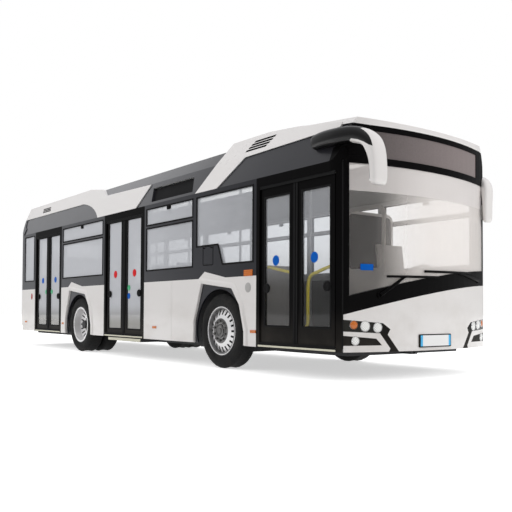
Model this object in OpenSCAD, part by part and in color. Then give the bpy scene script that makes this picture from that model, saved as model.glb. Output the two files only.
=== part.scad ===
// Low-floor electric city bus with three inward-swinging twin-leaf doors on its right-hand side.
// Frame: +X forward, +Y to the driver's side, +Z up, millimetres. The origin lies on the ground
// below the middle of the bus, mirrors included.

/* [Body] */
// Front face to front axle
front_overhang = 2420; // [2400:5:2600]
// Distance between the axles
wheelbase = 4450; // [4400:10:4900]
// Rear axle to rear face
rear_overhang = 3270; // [3200:10:3600]
// Width over the bodywork
body_w = 2550; // [2500:5:2600]
// Thickness of the side, front and rear walls
wall_t = 60; // [50:1:64]
// Radius of the bowed front face, seen from above
front_bow_r = 3570; // [3200:10:6000]
// Radius of the two front corners, seen from above
front_corner_r = 180; // [150:5:190]
// Radius of the two rear corners, seen from above
rear_corner_r = 350; // [250:10:400]
// Reach of the right-hand mirror ahead of the front face
mirror_reach = 235; // [200:5:260]

/* [Levels] */
// Underside of the skirts
skirt_z = 310; // [290:1:320]
// Top face of the floor
floor_z = 340; // [335:1:360]
// Lower edge of the dark window band
belt_z = 1155; // [1140:5:1200]
// Height of the band below the side windows
sill_h = 170; // [150:5:190]
// Height of the side windows
glass_h = 920; // [880:5:960]
// Height of the rail above the side windows
cant_h = 65; // [55:1:80]
// Height of the leaning cove panels
cove_h = 360; // [320:5:380]
// Height from the coves to the edge of the flat roof
shoulder_h = 183; // [160:1:200]
// Height of the roof fairings above the flat roof
fairing_h = 82; // [60:1:100]
// Height of the battery packs above the flat roof
pack_h = 150; // [120:1:200]

/* [Roof] */
// Inset of the cove's upper edge from the side
cove_in = 145; // [120:5:180]
// Inset of the flat roof's edge from the cove
shoulder_in = 130; // [110:5:160]
// Thickness of the roof
roof_t = 60; // [50:1:80]
// Thickness of the fairing skins
skin_t = 15; // [12:1:20]
// Width of a fairing's top flange
flange_w = 70; // [50:5:90]
// Length of a battery pack
pack_l = 1900; // [1600:10:2000]
// Width of a battery pack
pack_w = 1200; // [1000:10:1400]

/* [Doors] */
// Front door's centre, ahead of the front axle
door_1_x = 1500; // [1490:5:1510]
// Middle door's centre, behind the front axle
door_2_x = 2690; // [2640:5:2740]
// Rear door's centre, behind the rear axle
door_3_x = 1500; // [1480:5:1560]
// Width of the clear opening between the jambs
door_w = 1280; // [1260:5:1290]
// Width of a jamb
jamb_w = 60; // [50:1:70]
// Height of the door header
header_h = 110; // [100:1:120]
// Depth of the header with the drive inside
header_d = 175; // [170:1:200]
// Thickness of a door leaf
leaf_t = 40; // [35:1:42]
// Setback of a leaf from the side face
leaf_in = 20; // [18:1:22]
// Distance of a door post from its leaf
post_off = 45; // [42:1:46]
// Radius of a door post
post_r = 20; // [16:1:20]
// Length of a door arm
arm_l = 318; // [317:1:319]

/* [Wheels] */
// Tyre diameter
tyre_d = 957; // [940:1:970]
// Tyre width
tyre_w = 275; // [265:1:280]
// Bead diameter of the rim
bead_d = 600; // [560:1:620]
// Outer face of the wheels, in from the side
wheel_in = 30; // [25:1:40]
// Spacing of the twin rear tyres
twin_gap = 305; // [300:1:312]
// Kingpin's distance from the middle of the bus
kingpin_y = 985; // [980:1:992]
// Kingpin radius
kingpin_r = 25; // [20:1:28]
// Front stub axle radius
stub_r = 40; // [35:1:45]
// Rear stub axle radius
rear_stub_r = 70; // [60:1:75]
// Radial running clearance of pins and hubs
run_gap = 0.05; // [0.03:0.01:0.1]

/* [Interior] */
// Distance of the wheel boxes from the middle of the bus
box_y = 600; // [580:5:620]
// Half length of a wheel box
box_half = 625; // [620:1:630]
// Top of a wheel box
box_z = 1180; // [1160:5:1220]
// Thickness of floor and wheel box panels
panel_t = 30; // [20:1:30]
// Width of one seat
seat_w = 430; // [410:5:440]
// Spacing of the seat rows
pitch = 720; // [700:5:760]
// Radius of the grab rails
rail_r = 17; // [15:1:20]

/* [Hidden] */
half_w = body_w / 2;
body_l = front_overhang + wheelbase + rear_overhang;
x_front = (body_l - mirror_reach) / 2;
x_rear = x_front - body_l;
x_fa = x_front - front_overhang;
x_ra = x_fa - wheelbase;
inner_y = half_w - wall_t;
axle_z = tyre_d / 2;
glass_z = belt_z + sill_h;
glass_top_z = glass_z + glass_h;
cant_z = glass_top_z + cant_h;
cove_z = cant_z + cove_h;
shoulder_z = cove_z + shoulder_h;
fairing_z = shoulder_z + fairing_h;
pack_z = shoulder_z + pack_h;
edge_in = cove_in + shoulder_in;
over = 5;
top_z = fairing_z + pack_h;
arc_steps = 8;
bow_steps = 20;
round_fn = 48;
wheel_fn = 96;
seat_gap = 0.3;
shade = "#2b2f33";
white = "#f2f2ef";
black = "#141516";
grey = "#8b9094";
pale = "#c9ccce";
tint = "#3a4750";
steel = "#777b80";
amber = "#d9731c";
red = "#8c1c1c";
blue = "#3d5a80";

// Points of an arc about c, counter-clockwise from a0 to a1
function arc(c, r, a0, a1, n = arc_steps) =
    [for (i = [0:n]) c + r * [cos(a0 + (a1 - a0) * i / n), sin(a0 + (a1 - a0) * i / n)]];

// A table of shares as points, from the corner o over the size s
function place(shares, o, s) = [for (p = shares) [o.x + p.x * s.x, o.y + p.y * s.y]];

// Points of a quadratic curve, and of a strip of width w along a line of points
bend_steps = 10;
function bend(a, b, c) = [for (i = [0:bend_steps]) let (t = i / bend_steps)
    (1 - t) * (1 - t) * a + 2 * t * (1 - t) * b + t * t * c];
function ribbon(pts, w) = let (n = len(pts) - 1,
    sides = [for (i = [0:n]) let (d = pts[min(i + 1, n)] - pts[max(i - 1, 0)]) [-d.y, d.x] / norm(d)])
    concat([for (i = [0:n]) pts[i] + sides[i] * w / 2], [for (i = [n:-1:0]) pts[i] - sides[i] * w / 2]);
function round_rect(lo, hi, r) = concat(
    arc([hi.x - r, hi.y - r], r, 0, 90), arc([lo.x + r, hi.y - r], r, 90, 180),
    arc([lo.x + r, lo.y + r], r, 180, 270), arc([hi.x - r, lo.y + r], r, 270, 360));

// Plan of the body: bowed front, tangent corners, straight sides and flat rear, inset by t
bow_x = x_front - front_bow_r;
corner_y = half_w - front_corner_r;
bow_a = asin(corner_y / (front_bow_r - front_corner_r));
corner_x = bow_x + (front_bow_r - front_corner_r) * cos(bow_a);
corner_a = (90 - bow_a) / arc_steps;
tail_x = x_rear + rear_corner_r;
tail_y = half_w - rear_corner_r;
function plan(t) = concat(
    arc([bow_x, 0], front_bow_r - t, -bow_a, bow_a, bow_steps),
    arc([corner_x, corner_y], front_corner_r - t, bow_a + corner_a, 90, arc_steps - 1),
    arc([tail_x, tail_y], rear_corner_r - t, 90, 180),
    arc([tail_x, -tail_y], rear_corner_r - t, 180, 270),
    arc([corner_x, -corner_y], front_corner_r - t, 270, 360 - bow_a - corner_a, arc_steps - 1));

// Cross-section of the body above the side walls, inset by t from the outer skin
function section(t) = [
    [-half_w + t, skirt_z], [half_w - t, skirt_z], [half_w - t, cant_z], [half_w - cove_in - t, cove_z],
    [half_w - edge_in - t, shoulder_z - (t - skin_t)],
    [-half_w + edge_in + t, shoulder_z - (t - skin_t)],
    [-half_w + cove_in + t, cove_z], [-half_w + t, cant_z]];

module plan_prism(t, z0, z1) translate([0, 0, z0]) linear_extrude(z1 - z0) polygon(plan(t));
module along_x(x0, x1) translate([x0, 0, 0]) rotate([90, 0, 90]) linear_extrude(x1 - x0) children();
module across(y0, y1) translate([0, y1, 0]) rotate([90, 0, 0]) linear_extrude(y1 - y0) children();
module all_across() across(-half_w - over, half_w + over) children();
module both() { children(); mirror([0, 1, 0]) children(); }
module both_2d() { children(); mirror([1, 0, 0]) children(); }
module rect(x0, x1, z0, z1) translate([x0, z0]) square([x1 - x0, z1 - z0]);
module slab(lo, hi) translate(lo) cube(hi - lo);
module rod(p, r, h, fn = round_fn) translate(p) cylinder(r = r, h = h, $fn = fn);
module y_rod(p, r, l) translate(p) rotate([-90, 0, 0]) cylinder(r = r, h = l, $fn = round_fn);
module x_rod(p, r, l) translate(p) rotate([0, 90, 0]) cylinder(r = r, h = l, $fn = round_fn);
module shell(z0, z1) difference() {
    plan_prism(0, z0, z1);
    plan_prism(wall_t, z0 - over, z1 + over);
}

// Doors: columns are the name, the centre, and the heights of the panes' lower and upper edges
front_pane_z = 560;
front_pane_top = 2060;
pane_z = 440;
pane_top = 2165;
doors = [
    ["front", x_fa + door_1_x, front_pane_z, front_pane_top],
    ["middle", x_fa - door_2_x, pane_z, pane_top],
    ["rear", x_ra - door_3_x, pane_z, pane_top]];
d1 = doors[0][1];
d2 = doors[1][1];
d3 = doors[2][1];
header_z = cant_z - header_h;
frame_half = door_w / 2 + jamb_w;
post_back = 24;
post_half = door_w / 2 + post_back;
post_y = -half_w + leaf_in + leaf_t + post_off;
jamb_gap = 15;
meet_gap = 5;
leaf_gap = 5;
arm_gap = 8;
stile_head = 95;
stile_tail = 65;
arm_t = 15;
arm_w = 30;
arm_pin_r = 8;
arm_low_z = floor_z + arm_gap;
arm_high_z = header_z - arm_gap - arm_t;
leaf_z = arm_low_z + arm_t + leaf_gap;
leaf_top = arm_high_z - leaf_gap;
roller_r = 12;
bracket_t = 15;
slot_d = 25;
slot_gap = 8;
pane_t = 10;

module door_gaps() for (d = doors) rect(d[1] - frame_half, d[1] + frame_half, 0, cant_z + over);

// Wheel arches in side view, as shares of the opening's half length and height
arch_half = 565;
arch_h = 780;
arch_shares = [[-1, -0.02], [-1, 0.36], [-0.68, 1], [0.54, 0.9], [0.83, 0.64], [1, 0.22], [1, -0.02]];
brow_shares = [[-1.2, 0.6], [-1.02, 1], [-0.57, 1.2], [0.68, 1.03], [1.35, 0.97], [1.35, 0.6]];
module arch_opening(x, t = 0) polygon(place(arch_shares, [x, skirt_z], [arch_half - t, arch_h - t]));
module arch_brow(x) polygon(place(brow_shares, [x, skirt_z], [arch_half, arch_h]));
module low_panels() difference() {
    union() {
        rect(tail_x, corner_x, skirt_z, belt_z);
        arch_brow(x_fa);
        arch_brow(x_ra);
    }
    arch_opening(x_fa);
    arch_opening(x_ra);
}

// Skirts in panels that part at narrow seams, as shares of the spaces between the arches and ends
seam_w = 4;
right_seam_shares = [0.82];
left_seam_shares = [0.25, 0.5, 0.75];
module seams(shares) for (s = shares) let (x = x_ra + arch_half + s * (wheelbase - 2 * arch_half))
    rect(x - seam_w / 2, x + seam_w / 2, 0, belt_z);
module skirts() color(white) {
    across(-half_w, -inner_y) difference() { low_panels(); door_gaps(); seams(right_seam_shares); }
    across(inner_y, half_w) difference() { low_panels(); seams(left_seam_shares); }
}

// Dark panels in the arches, each with a round cut-out about its wheel
arch_in = 18;
arch_panel_t = 25;
arch_gap = 55;
module arch_panels() color(shade) both() across(half_w - arch_in - arch_panel_t, half_w - arch_in)
    for (x = [x_fa, x_ra]) difference() {
        intersection() { arch_opening(x, seat_gap); rect(x - arch_half, x + arch_half, skirt_z, belt_z); }
        translate([x, axle_z]) circle(r = tyre_d / 2 + arch_gap, $fn = wheel_fn);
    }

// Right-hand windows: each fills its bay, less the margins beside it; two have a hopper bar
bay_margin = 65;
bay_pillar_x = 575;
bay_pillar_w = 100;
notch_h = 260;
notch_low = 90;
notch_high = 15;
tail_margin = 120;
hopper_h = 290;
hopper_bar = 45;
notch_z = glass_z + notch_h;
pillar_x = x_fa - bay_pillar_x;
module hopper_window(x0, x1) {
    rect(x0, x1, glass_z, glass_top_z - hopper_h);
    rect(x0, x1, glass_top_z - hopper_h + hopper_bar, glass_top_z);
}
module notch_window() polygon([
    [pillar_x + bay_pillar_w / 2, glass_top_z], [d1 - frame_half - bay_margin, glass_top_z],
    [d1 - frame_half - bay_margin, glass_z], [x_fa + notch_low, glass_z],
    [x_fa - notch_high, notch_z], [pillar_x + bay_pillar_w / 2, notch_z]]);
module right_windows() difference() {
    union() {
        notch_window();
        hopper_window(d2 + frame_half + bay_margin, pillar_x - bay_pillar_w / 2);
        hopper_window(d3 + frame_half + bay_margin, d2 - frame_half - bay_margin);
        rect(tail_x + tail_margin, d3 - frame_half - bay_margin, glass_z, glass_top_z);
    }
    low_panels();
}

// Left-hand windows: equal panes from the tail to the driver's window
left_count = 6;
left_pillar = 90;
left_x0 = tail_x + tail_margin;
left_x1 = corner_x - bay_margin;
left_step = (left_x1 - left_x0 + left_pillar) / left_count;
module left_windows() difference() {
    for (i = [0:left_count - 1]) let (x = left_x0 + i * left_step)
        hopper_window(x, x + left_step - left_pillar);
    low_panels();
}

// Charging flap below the step of the first window, hung on a barrel along its upper edge
hinge_r = 8;
hinge_pin_r = 4;
hinge_gap = 1;
hinge_swing_r = 14;
hinge_drop = 15;
flap_w = 220;
flap_h = 225;
flap_t = 20;
flap_back = 135;
flap_gap = 5;
flap_rise = 15;
charge_barrel_l = 120;
flap_z = glass_z + flap_rise;
flap_x1 = x_fa - flap_back;
flap_mid = flap_x1 - flap_w / 2;
charge_axis = [flap_mid - charge_barrel_l / 2, -half_w + hinge_r, flap_z + flap_h];
module charge_pocket() {
    across(-half_w - over, -half_w + flap_t + flap_gap)
        rect(flap_x1 - flap_w - flap_gap, flap_x1 + flap_gap, flap_z - flap_gap, flap_z + flap_h);
    x_rod(charge_axis - [hinge_gap, 0, 0], hinge_swing_r, charge_barrel_l + 2 * hinge_gap);
}
module charge_flap() color(shade) difference() {
    union() {
        across(-half_w, -half_w + flap_t)
            rect(flap_x1 - flap_w, flap_x1, flap_z, flap_z + flap_h - hinge_drop);
        slab(charge_axis - [0, hinge_r, hinge_drop + over], charge_axis + [charge_barrel_l, 0, 0]);
        x_rod(charge_axis, hinge_r, charge_barrel_l);
    }
    x_rod(charge_axis - [over, 0, 0], hinge_pin_r + run_gap, charge_barrel_l + 2 * over);
}

module side_band_right() color(shade) {
    difference() {
        across(-half_w, -inner_y) difference() {
            rect(tail_x, corner_x, skirt_z, cant_z);
            low_panels();
            door_gaps();
            right_windows();
            arch_opening(x_fa);
            arch_opening(x_ra);
        }
        charge_pocket();
    }
    x_rod(charge_axis - [over, 0, 0], hinge_pin_r, charge_barrel_l + 2 * over);
}
module side_band_left() color(shade) across(inner_y, half_w) difference() {
    rect(tail_x, corner_x, skirt_z, cant_z);
    low_panels();
    left_windows();
    arch_opening(x_fa);
    arch_opening(x_ra);
}

// Door portals: jambs, sill and header, following the body's corners
module door_portals() color(black) for (d = doors) intersection() {
    across(-half_w, -inner_y) difference() {
        rect(d[1] - frame_half, d[1] + frame_half, skirt_z, cant_z);
        rect(d[1] - door_w / 2, d[1] + door_w / 2, floor_z, header_z);
    }
    plan_prism(0, 0, cant_z + over);
}

// Door drives above the doorways, each with a guide slot between it and the header
slot_y = post_y + roller_r + slot_gap;
drive_y = -half_w + header_d;
drive_end = 35;
module door_drives() color(pale) intersection() {
    for (d = doors) difference() {
        slab([d[1] - door_w / 2, -inner_y, header_z], [d[1] + door_w / 2, drive_y, cant_z]);
        slab([d[1] - door_w / 2 + drive_end, -inner_y - over, header_z - over],
             [d[1] + door_w / 2 - drive_end, slot_y, cant_z + over]);
    }
    plan_prism(wall_t, 0, top_z);
}

// One leaf, drawn from its post at the origin with the doorway towards +X. The post stands behind the
// jamb and the arms run above and below the leaf, so that its tail passes between the post and the jamb
leaf_out = -half_w + leaf_in - post_y;
leaf_start = post_back + jamb_gap;
leaf_end = post_half - meet_gap;
module leaf_sheet() rect(leaf_start, leaf_end, leaf_z, leaf_top);
module leaf_hole(d) rect(leaf_start + stile_tail, leaf_end - stile_head, d[2], d[3]);
module at_post(d, s) translate([d[1] + s * post_half, post_y, 0])
    mirror([s > 0 ? 1 : 0, 0, 0]) children();
module leaf_bracket(x, z) {
    rod([x, 0, z], arm_w / 2, bracket_t);
    slab([x - arm_w / 2, leaf_out + leaf_t, z], [x + arm_w / 2, 0, z + bracket_t]);
}
module leaf(d, s) color(black) at_post(d, s) {
    across(leaf_out, leaf_out + leaf_t) difference() { leaf_sheet(); leaf_hole(d); }
    for (z = [leaf_z, leaf_top - bracket_t]) difference() {
        leaf_bracket(arm_l, z);
        rod([arm_l, 0, z - over], arm_pin_r + run_gap, bracket_t + 2 * over);
    }
    leaf_bracket(2 * arm_l, leaf_top - bracket_t);
    rod([2 * arm_l, 0, leaf_top - bracket_t], roller_r, header_z + slot_d / 2 - leaf_top + bracket_t);
}
module pane(d, s) color(tint) at_post(d, s)
    across(leaf_out + leaf_t / 4, leaf_out + leaf_t / 4 + pane_t) leaf_hole(d);
module post(d, s) color(steel) at_post(d, s) {
    rod([0, 0, floor_z + seat_gap], post_r, arm_high_z + arm_t - floor_z - seat_gap);
    for (z = [arm_low_z, arm_high_z]) {
        slab([0, -arm_w / 2, z], [arm_l, arm_w / 2, z + arm_t]);
        rod([arm_l, 0, z], arm_w / 2, arm_t);
    }
    rod([arm_l, 0, arm_low_z], arm_pin_r, arm_t + leaf_gap + bracket_t);
    rod([arm_l, 0, leaf_top - bracket_t], arm_pin_r, bracket_t + leaf_gap + arm_t);
}

// Roof: cove panels and deck in one shell, cut back below the sloping front cap, with a sunk panel
cap_back = 1258;
cap_end = 700;
cap_low_h = 30;
cap_front_h = 85;
cap_back_h = 213;
cap_low_z = cove_z + cap_low_h;
cap_back_x = x_fa + cap_back;
cap_end_x = x_fa + cap_end;
cap_foot = [[cap_end_x, shoulder_z], [cap_back_x, shoulder_z - roof_t / 2],
            [x_front - 2 * wall_t, cap_low_z]];
module cap_profile() polygon(concat([[x_front + over, cap_low_z], [x_front + over, cove_z + cap_front_h],
    [cap_back_x, cove_z + cap_back_h], [cap_end_x, fairing_z]], cap_foot));
module cap_region() polygon(concat([[x_front + over, cap_low_z], [x_front + over, top_z],
    [cap_end_x, top_z]], cap_foot));
module roof_plan() {
    polygon(plan(wall_t));
    translate([tail_x, -half_w]) square([corner_x - tail_x, body_w]);
}
sunk_x = 1945;
sunk_l = 1255;
sunk_d = 40;
sunk_shares = [[0, 1], [0.92, 1], [1, 0], [0.08, 0]];
sunk_foot = 45;
sunk_h = 230;
module sunk_panel() difference() {
    across(-half_w - over, -half_w + edge_in)
        polygon(place(sunk_shares, [x_fa - sunk_x, cant_z + sunk_foot], [sunk_l, sunk_h]));
    along_x(x_rear, x_front) polygon(section(skin_t + sunk_d));
}
module roof() color(shade) difference() {
    intersection() {
        along_x(x_rear, x_front) difference() {
            intersection() { polygon(section(skin_t)); rect(-half_w, half_w, cant_z, top_z); }
            polygon(section(skin_t + roof_t));
        }
        translate([0, 0, cant_z - over]) linear_extrude(top_z - cant_z) roof_plan();
    }
    all_across() cap_region();
    sunk_panel();
}

// Fairing skins over the coves, cut to side-view outlines, with slotted vents
module fairing_section() both_2d() polygon([
    [half_w - skin_t, cant_z], [half_w, cant_z], [half_w - cove_in, cove_z],
    [half_w - edge_in, fairing_z], [half_w - edge_in - flange_w, fairing_z],
    [half_w - edge_in - flange_w, shoulder_z], [half_w - edge_in - skin_t, shoulder_z],
    [half_w - cove_in - skin_t, cove_z]]);
vent_h = 25;
vent_pitch = 36;
vent_rise = 62;
vent_l = 420;
vent_lean = 38;
front_vent_x = 330;
front_vents = 4;
rear_vent_x = 2280;
rear_vents = 3;
module vents(x, count, lean) all_across() for (i = [0:count - 1])
    translate([x + i * lean, cove_z + vent_rise + i * vent_pitch])
        polygon([[0, 0], [vent_l, 0], [vent_l + lean / 2, vent_h], [lean / 2, vent_h]]);
stripe_foot = 575;
stripe_toe = 60;
stripe_knee = 370;
stripe_lap = 10;
module front_outline() polygon([
    [corner_x, cap_low_z], [corner_x, cove_z + cap_front_h], [cap_back_x, cove_z + cap_back_h],
    [cap_end_x, fairing_z], [x_fa - stripe_toe, fairing_z], [x_fa - stripe_toe - flange_w, shoulder_z],
    [x_fa - stripe_foot, cant_z], [x_fa - stripe_toe, cant_z], [x_fa + stripe_knee, cove_z - stripe_lap]]);
module front_fairing() color(white) difference() {
    union() {
        intersection() {
            along_x(tail_x, x_front) fairing_section();
            plan_prism(0, cant_z - over, top_z);
            all_across() front_outline();
        }
        intersection() {
            all_across() cap_profile();
            along_x(tail_x, x_front + over) polygon(section(0));
            plan_prism(0, cant_z - over, top_z);
        }
    }
    vents(x_fa + front_vent_x, front_vents, vent_lean);
}
hump_back = 100;
hump_foot = 480;
tongue_root = 780;
tongue_tip = 2400;
tongue_low = 2160;
sweep_low = 770;
sweep_mid = 420;
sweep_in = 150;
sweep_drop = 90;
module rear_outline() polygon(concat(
    [[x_rear, cove_z], [x_rear, fairing_z], [x_ra - hump_back, fairing_z], [x_ra + hump_foot, shoulder_z],
     [x_ra + tongue_root, cove_z + cap_low_h], [x_ra + tongue_tip, cove_z - stripe_lap],
     [x_ra + tongue_low, cant_z]],
    bend([x_ra + sweep_low, cant_z], [x_ra + sweep_mid, cove_z - sweep_drop],
         [x_ra - sweep_in, cove_z - stripe_lap])));
module rear_fairing() color(white) difference() {
    intersection() {
        along_x(x_rear, x_front) fairing_section();
        plan_prism(0, cant_z - over, top_z);
        all_across() rear_outline();
    }
    vents(x_ra - rear_vent_x, rear_vents, -vent_lean);
}

// Roof battery packs: three equal housings with chamfered edges and cooling ribs
pack_gap = 300;
pack_chamfer = 60;
rib_w = 40;
rib_d = 15;
ribs = 7;
module pack_form() polygon([
    [-pack_w / 2, shoulder_z], [pack_w / 2, shoulder_z], [pack_w / 2, pack_z - pack_chamfer],
    [pack_w / 2 - pack_chamfer, pack_z], [-pack_w / 2 + pack_chamfer, pack_z],
    [-pack_w / 2, pack_z - pack_chamfer]]);
module roof_packs() color(shade) for (i = [-1:1]) let (x = (x_fa + x_ra) / 2 + i * (pack_l + pack_gap)
                                                        - pack_gap) difference() {
    along_x(x - pack_l / 2, x + pack_l / 2) pack_form();
    for (k = [1:ribs]) let (rx = x - pack_l / 2 + k * pack_l / (ribs + 1))
        slab([rx - rib_w / 2, -pack_w, pack_z - rib_d], [rx + rib_w / 2, pack_w, pack_z + over]);
}

// Front: the mask's upper edge is an arc that runs flat on the driver's side of its apex
corner_in = 220;
mask_h = 759;
mask_apex = 1660;
mask_arc_r = 11170;
band_h = 180;
screen_half = 1150;
screen_rise = 40;
sign_foot = 50;
sign_h = 280;
sign_half = 940;
mask_steps = 12;
mask_z = skirt_z + mask_h;
screen_top = glass_top_z + screen_rise;
sign_z = cant_z + sign_foot;
sign_top = sign_z + sign_h;
function mask_edge(y) = mask_z - pow(min(y, mask_apex) - mask_apex, 2) / (2 * mask_arc_r);
function edge_points(h, half) = [for (i = [0:mask_steps])
    let (y = -half + 2 * half * i / mask_steps) [y, mask_edge(y) + h]];
module below_edge(h, half, z0) polygon(concat(edge_points(h, half), [[half, z0], [-half, z0]]));
module screen_shape() difference() {
    rect(-screen_half, screen_half, skirt_z, screen_top);
    below_edge(band_h, half_w, 0);
}
module sign_shape() rect(-sign_half, sign_half, sign_z, sign_top);
// Lamp corner: the lens, the black chevron and the fog lamp recess, as shares of half width and mask
lens_shares = [[1.01, 0.29], [1.01, 0.454], [0.596, 0.398], [0.624, 0.257]];
chevron_shares = [[0.624, 0.257], [0.596, 0.398], [0.522, 0.312], [0.549, 0.237], [0.427, -0.013],
                  [0.541, -0.013], [0.522, 0.042]];
recess_shares = [[1.01, 0.237], [0.659, 0.184], [0.604, 0.09], [1.01, 0.09]];
fog_d = 90;
fog_y = 1085;
fog_rise = 118;
module front_form(shares) both_2d() polygon(place(shares, [0, skirt_z], [half_w, mask_h]));
module lamp_shape() front_form(lens_shares);
module chevron_shape() { front_form(chevron_shares); front_form(recess_shares); }
module fog_shape() both_2d() translate([fog_y, skirt_z + fog_rise]) circle(d = fog_d, $fn = round_fn);
module front_slice() along_x(corner_x - over, x_front + over) children();
module front_wall(z0, z1) intersection() {
    shell(z0, z1);
    front_slice() polygon(section(0));
    all_across() rect(corner_x, x_front + over, z0, z1);
}
module right_portal_gap() slab([x_rear, -half_w - over, 0], [d1 + frame_half, -half_w + corner_in, cant_z]);
module front_mask() color(white) difference() {
    intersection() {
        front_wall(skirt_z, mask_z + over);
        front_slice() difference() {
            below_edge(0, half_w + over, 0);
            lamp_shape();
            chevron_shape();
            fog_shape();
        }
    }
    right_portal_gap();
}
// Black surround in pieces: two pillars, the band below the screen, and the strips about the sign
module surround_pieces() {
    rect(-screen_half + seat_gap, screen_half - seat_gap, skirt_z, sign_z - seat_gap);
    both_2d() rect(screen_half, half_w + over, skirt_z, cap_low_z + over);
    both_2d() rect(sign_half, screen_half - seat_gap, sign_z, sign_top);
    rect(-screen_half + seat_gap, screen_half - seat_gap, sign_top + seat_gap, cap_low_z + over);
}
module front_surround() color(black) difference() {
    intersection() {
        front_wall(skirt_z, cap_low_z);
        front_slice() {
            difference() {
                surround_pieces();
                below_edge(0, half_w + over, 0);
                screen_shape();
                sign_shape();
            }
            difference() { chevron_shape(); fog_shape(); }
        }
    }
    right_portal_gap();
}
glass_in = 8;
glass_t = 12;
module windscreen() color(tint) intersection() {
    difference() { plan_prism(glass_in, skirt_z, cap_low_z); plan_prism(glass_in + glass_t, 0, top_z); }
    front_slice() { screen_shape(); sign_shape(); }
    all_across() rect(corner_x, x_front + over, 0, top_z);
}
module front_lamps() color(grey) difference() {
    intersection() {
        front_wall(skirt_z, mask_z);
        front_slice() { lamp_shape(); fog_shape(); }
    }
    right_portal_gap();
}

// Rear wall with a window, a hinged service flap and lamp columns
rear_glass_half = 850;
rear_glass_rise = 175;
rear_flap_half = 900;
rear_flap_h = 740;
rear_flap_t = 30;
rear_flap_drop = 25;
rear_barrel_l = 160;
rear_barrel_y = 600;
rear_lamp_half = 1130;
rear_lamp_w = 130;
rear_lamp_h = 550;
rear_lamp_drop = 75;
rear_skirt_rise = 105;
rear_glass_z = glass_z + rear_glass_rise;
rear_flap_top = glass_z - rear_flap_drop;
rear_flap_z = rear_flap_top - rear_flap_h;
rear_lamp_top = glass_z - rear_lamp_drop;
rear_skirt_z = skirt_z + rear_skirt_rise;
module rear_slice() along_x(x_rear - over, tail_x) children();
module rear_lamp_shape() both_2d()
    rect(rear_lamp_half - rear_lamp_w, rear_lamp_half, rear_lamp_top - rear_lamp_h, rear_lamp_top);
module rear_glass_shape() rect(-rear_glass_half, rear_glass_half, rear_glass_z, glass_top_z);
module rear_axis() both()
    translate([x_rear + hinge_r, rear_barrel_y - rear_barrel_l / 2, rear_flap_top]) children();
module rear_wall() color(white) {
    difference() {
        intersection() {
            shell(rear_skirt_z, shoulder_z);
            rear_slice() polygon(section(0));
        }
        rear_slice() rear_glass_shape();
        rear_slice() rear_lamp_shape();
        intersection() { rear_slice() fairing_section(); all_across() rear_outline(); }
        along_x(x_rear - over, x_rear + rear_flap_t + flap_gap)
            rect(-rear_flap_half - flap_gap, rear_flap_half + flap_gap,
                 rear_flap_z - flap_gap, rear_flap_top);
        rear_axis() y_rod([0, -hinge_gap, 0], hinge_swing_r, rear_barrel_l + 2 * hinge_gap);
    }
    rear_axis() y_rod([0, -over, 0], hinge_pin_r, rear_barrel_l + 2 * over);
}
module rear_flap() color(white) difference() {
    union() {
        along_x(x_rear, x_rear + rear_flap_t)
            rect(-rear_flap_half, rear_flap_half, rear_flap_z, rear_flap_top - hinge_drop);
        rear_axis() {
            slab([-hinge_r, 0, -hinge_drop - over], [0, rear_barrel_l, 0]);
            y_rod([0, 0, 0], hinge_r, rear_barrel_l);
        }
    }
    rear_axis() y_rod([0, -over, 0], hinge_pin_r + run_gap, rear_barrel_l + 2 * over);
}
module rear_lamps() color(red) intersection() {
    shell(rear_skirt_z, shoulder_z);
    rear_slice() rear_lamp_shape();
}
module windows() color(tint) {
    across(-half_w + glass_in, -half_w + glass_in + glass_t) right_windows();
    across(half_w - glass_in - glass_t, half_w - glass_in) left_windows();
    along_x(x_rear + glass_in, x_rear + glass_in + glass_t) rear_glass_shape();
}

// Side marker lamps, each a set distance from a doorway, an arch or the tail
marker_l = 110;
marker_h = 35;
marker_t = 8;
marker_rise = 162;
marker_ends = [d1 - frame_half - marker_l / 2, d2 + frame_half + 3 * marker_l, d3 + frame_half + marker_l,
               tail_x + 2 * marker_l];
repeater_l = 170;
repeater_h = 75;
repeater_x = 645;
module side_markers() color(amber) both() {
    for (x = marker_ends)
        slab([x - marker_l / 2, half_w, skirt_z + marker_rise],
             [x + marker_l / 2, half_w + marker_t, skirt_z + marker_rise + marker_h]);
    slab([x_fa + repeater_x - repeater_l / 2, half_w, belt_z],
         [x_fa + repeater_x + repeater_l / 2, half_w + marker_t, belt_z + repeater_h]);
}

// Mirrors: curved horns that start on the coves, cut from a side view and a plan, both in shares.
// The dark arm and the white housing part along a slant
mirror_out = 70;
mirror_w = 345;
hook_l = 955;
hook_h = 700;
hook_low = 320;
left_hook_l = 560;
left_hook_back = 110;
left_hook_low = 480;
left_mirror_w = 250;
hook_shares = [[0, 0.95], [0.2, 1], [0.45, 1], [0.7, 0.93], [0.88, 0.75], [0.98, 0.5], [1, 0.25],
               [0.98, 0.06], [0.93, 0], [0.74, 0], [0.7, 0.12], [0.71, 0.35], [0.66, 0.5], [0.55, 0.59],
               [0.38, 0.59], [0.2, 0.61], [0, 0.66]];
horn_shares = [[0, 0.72], [0.2, 0.88], [0.45, 0.98], [0.7, 0.94], [0.88, 0.84], [1, 0.67], [1, 0.03],
               [0.85, 0.1], [0.7, 0.24], [0.45, 0.4], [0.2, 0.36], [0, 0.29]];
arm_shares = [[-0.1, 1.1], [0.7, 1.1], [0.66, 0.62], [0.58, 0.4], [-0.1, 0.4]];
module horn(x, z, l, w) intersection() {
    across(0, half_w + mirror_out) polygon(place(hook_shares, [x, z], [l, hook_h]));
    translate([0, 0, z]) linear_extrude(hook_h)
        polygon(place(horn_shares, [x, half_w + mirror_out - w], [l, w]));
}
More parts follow.
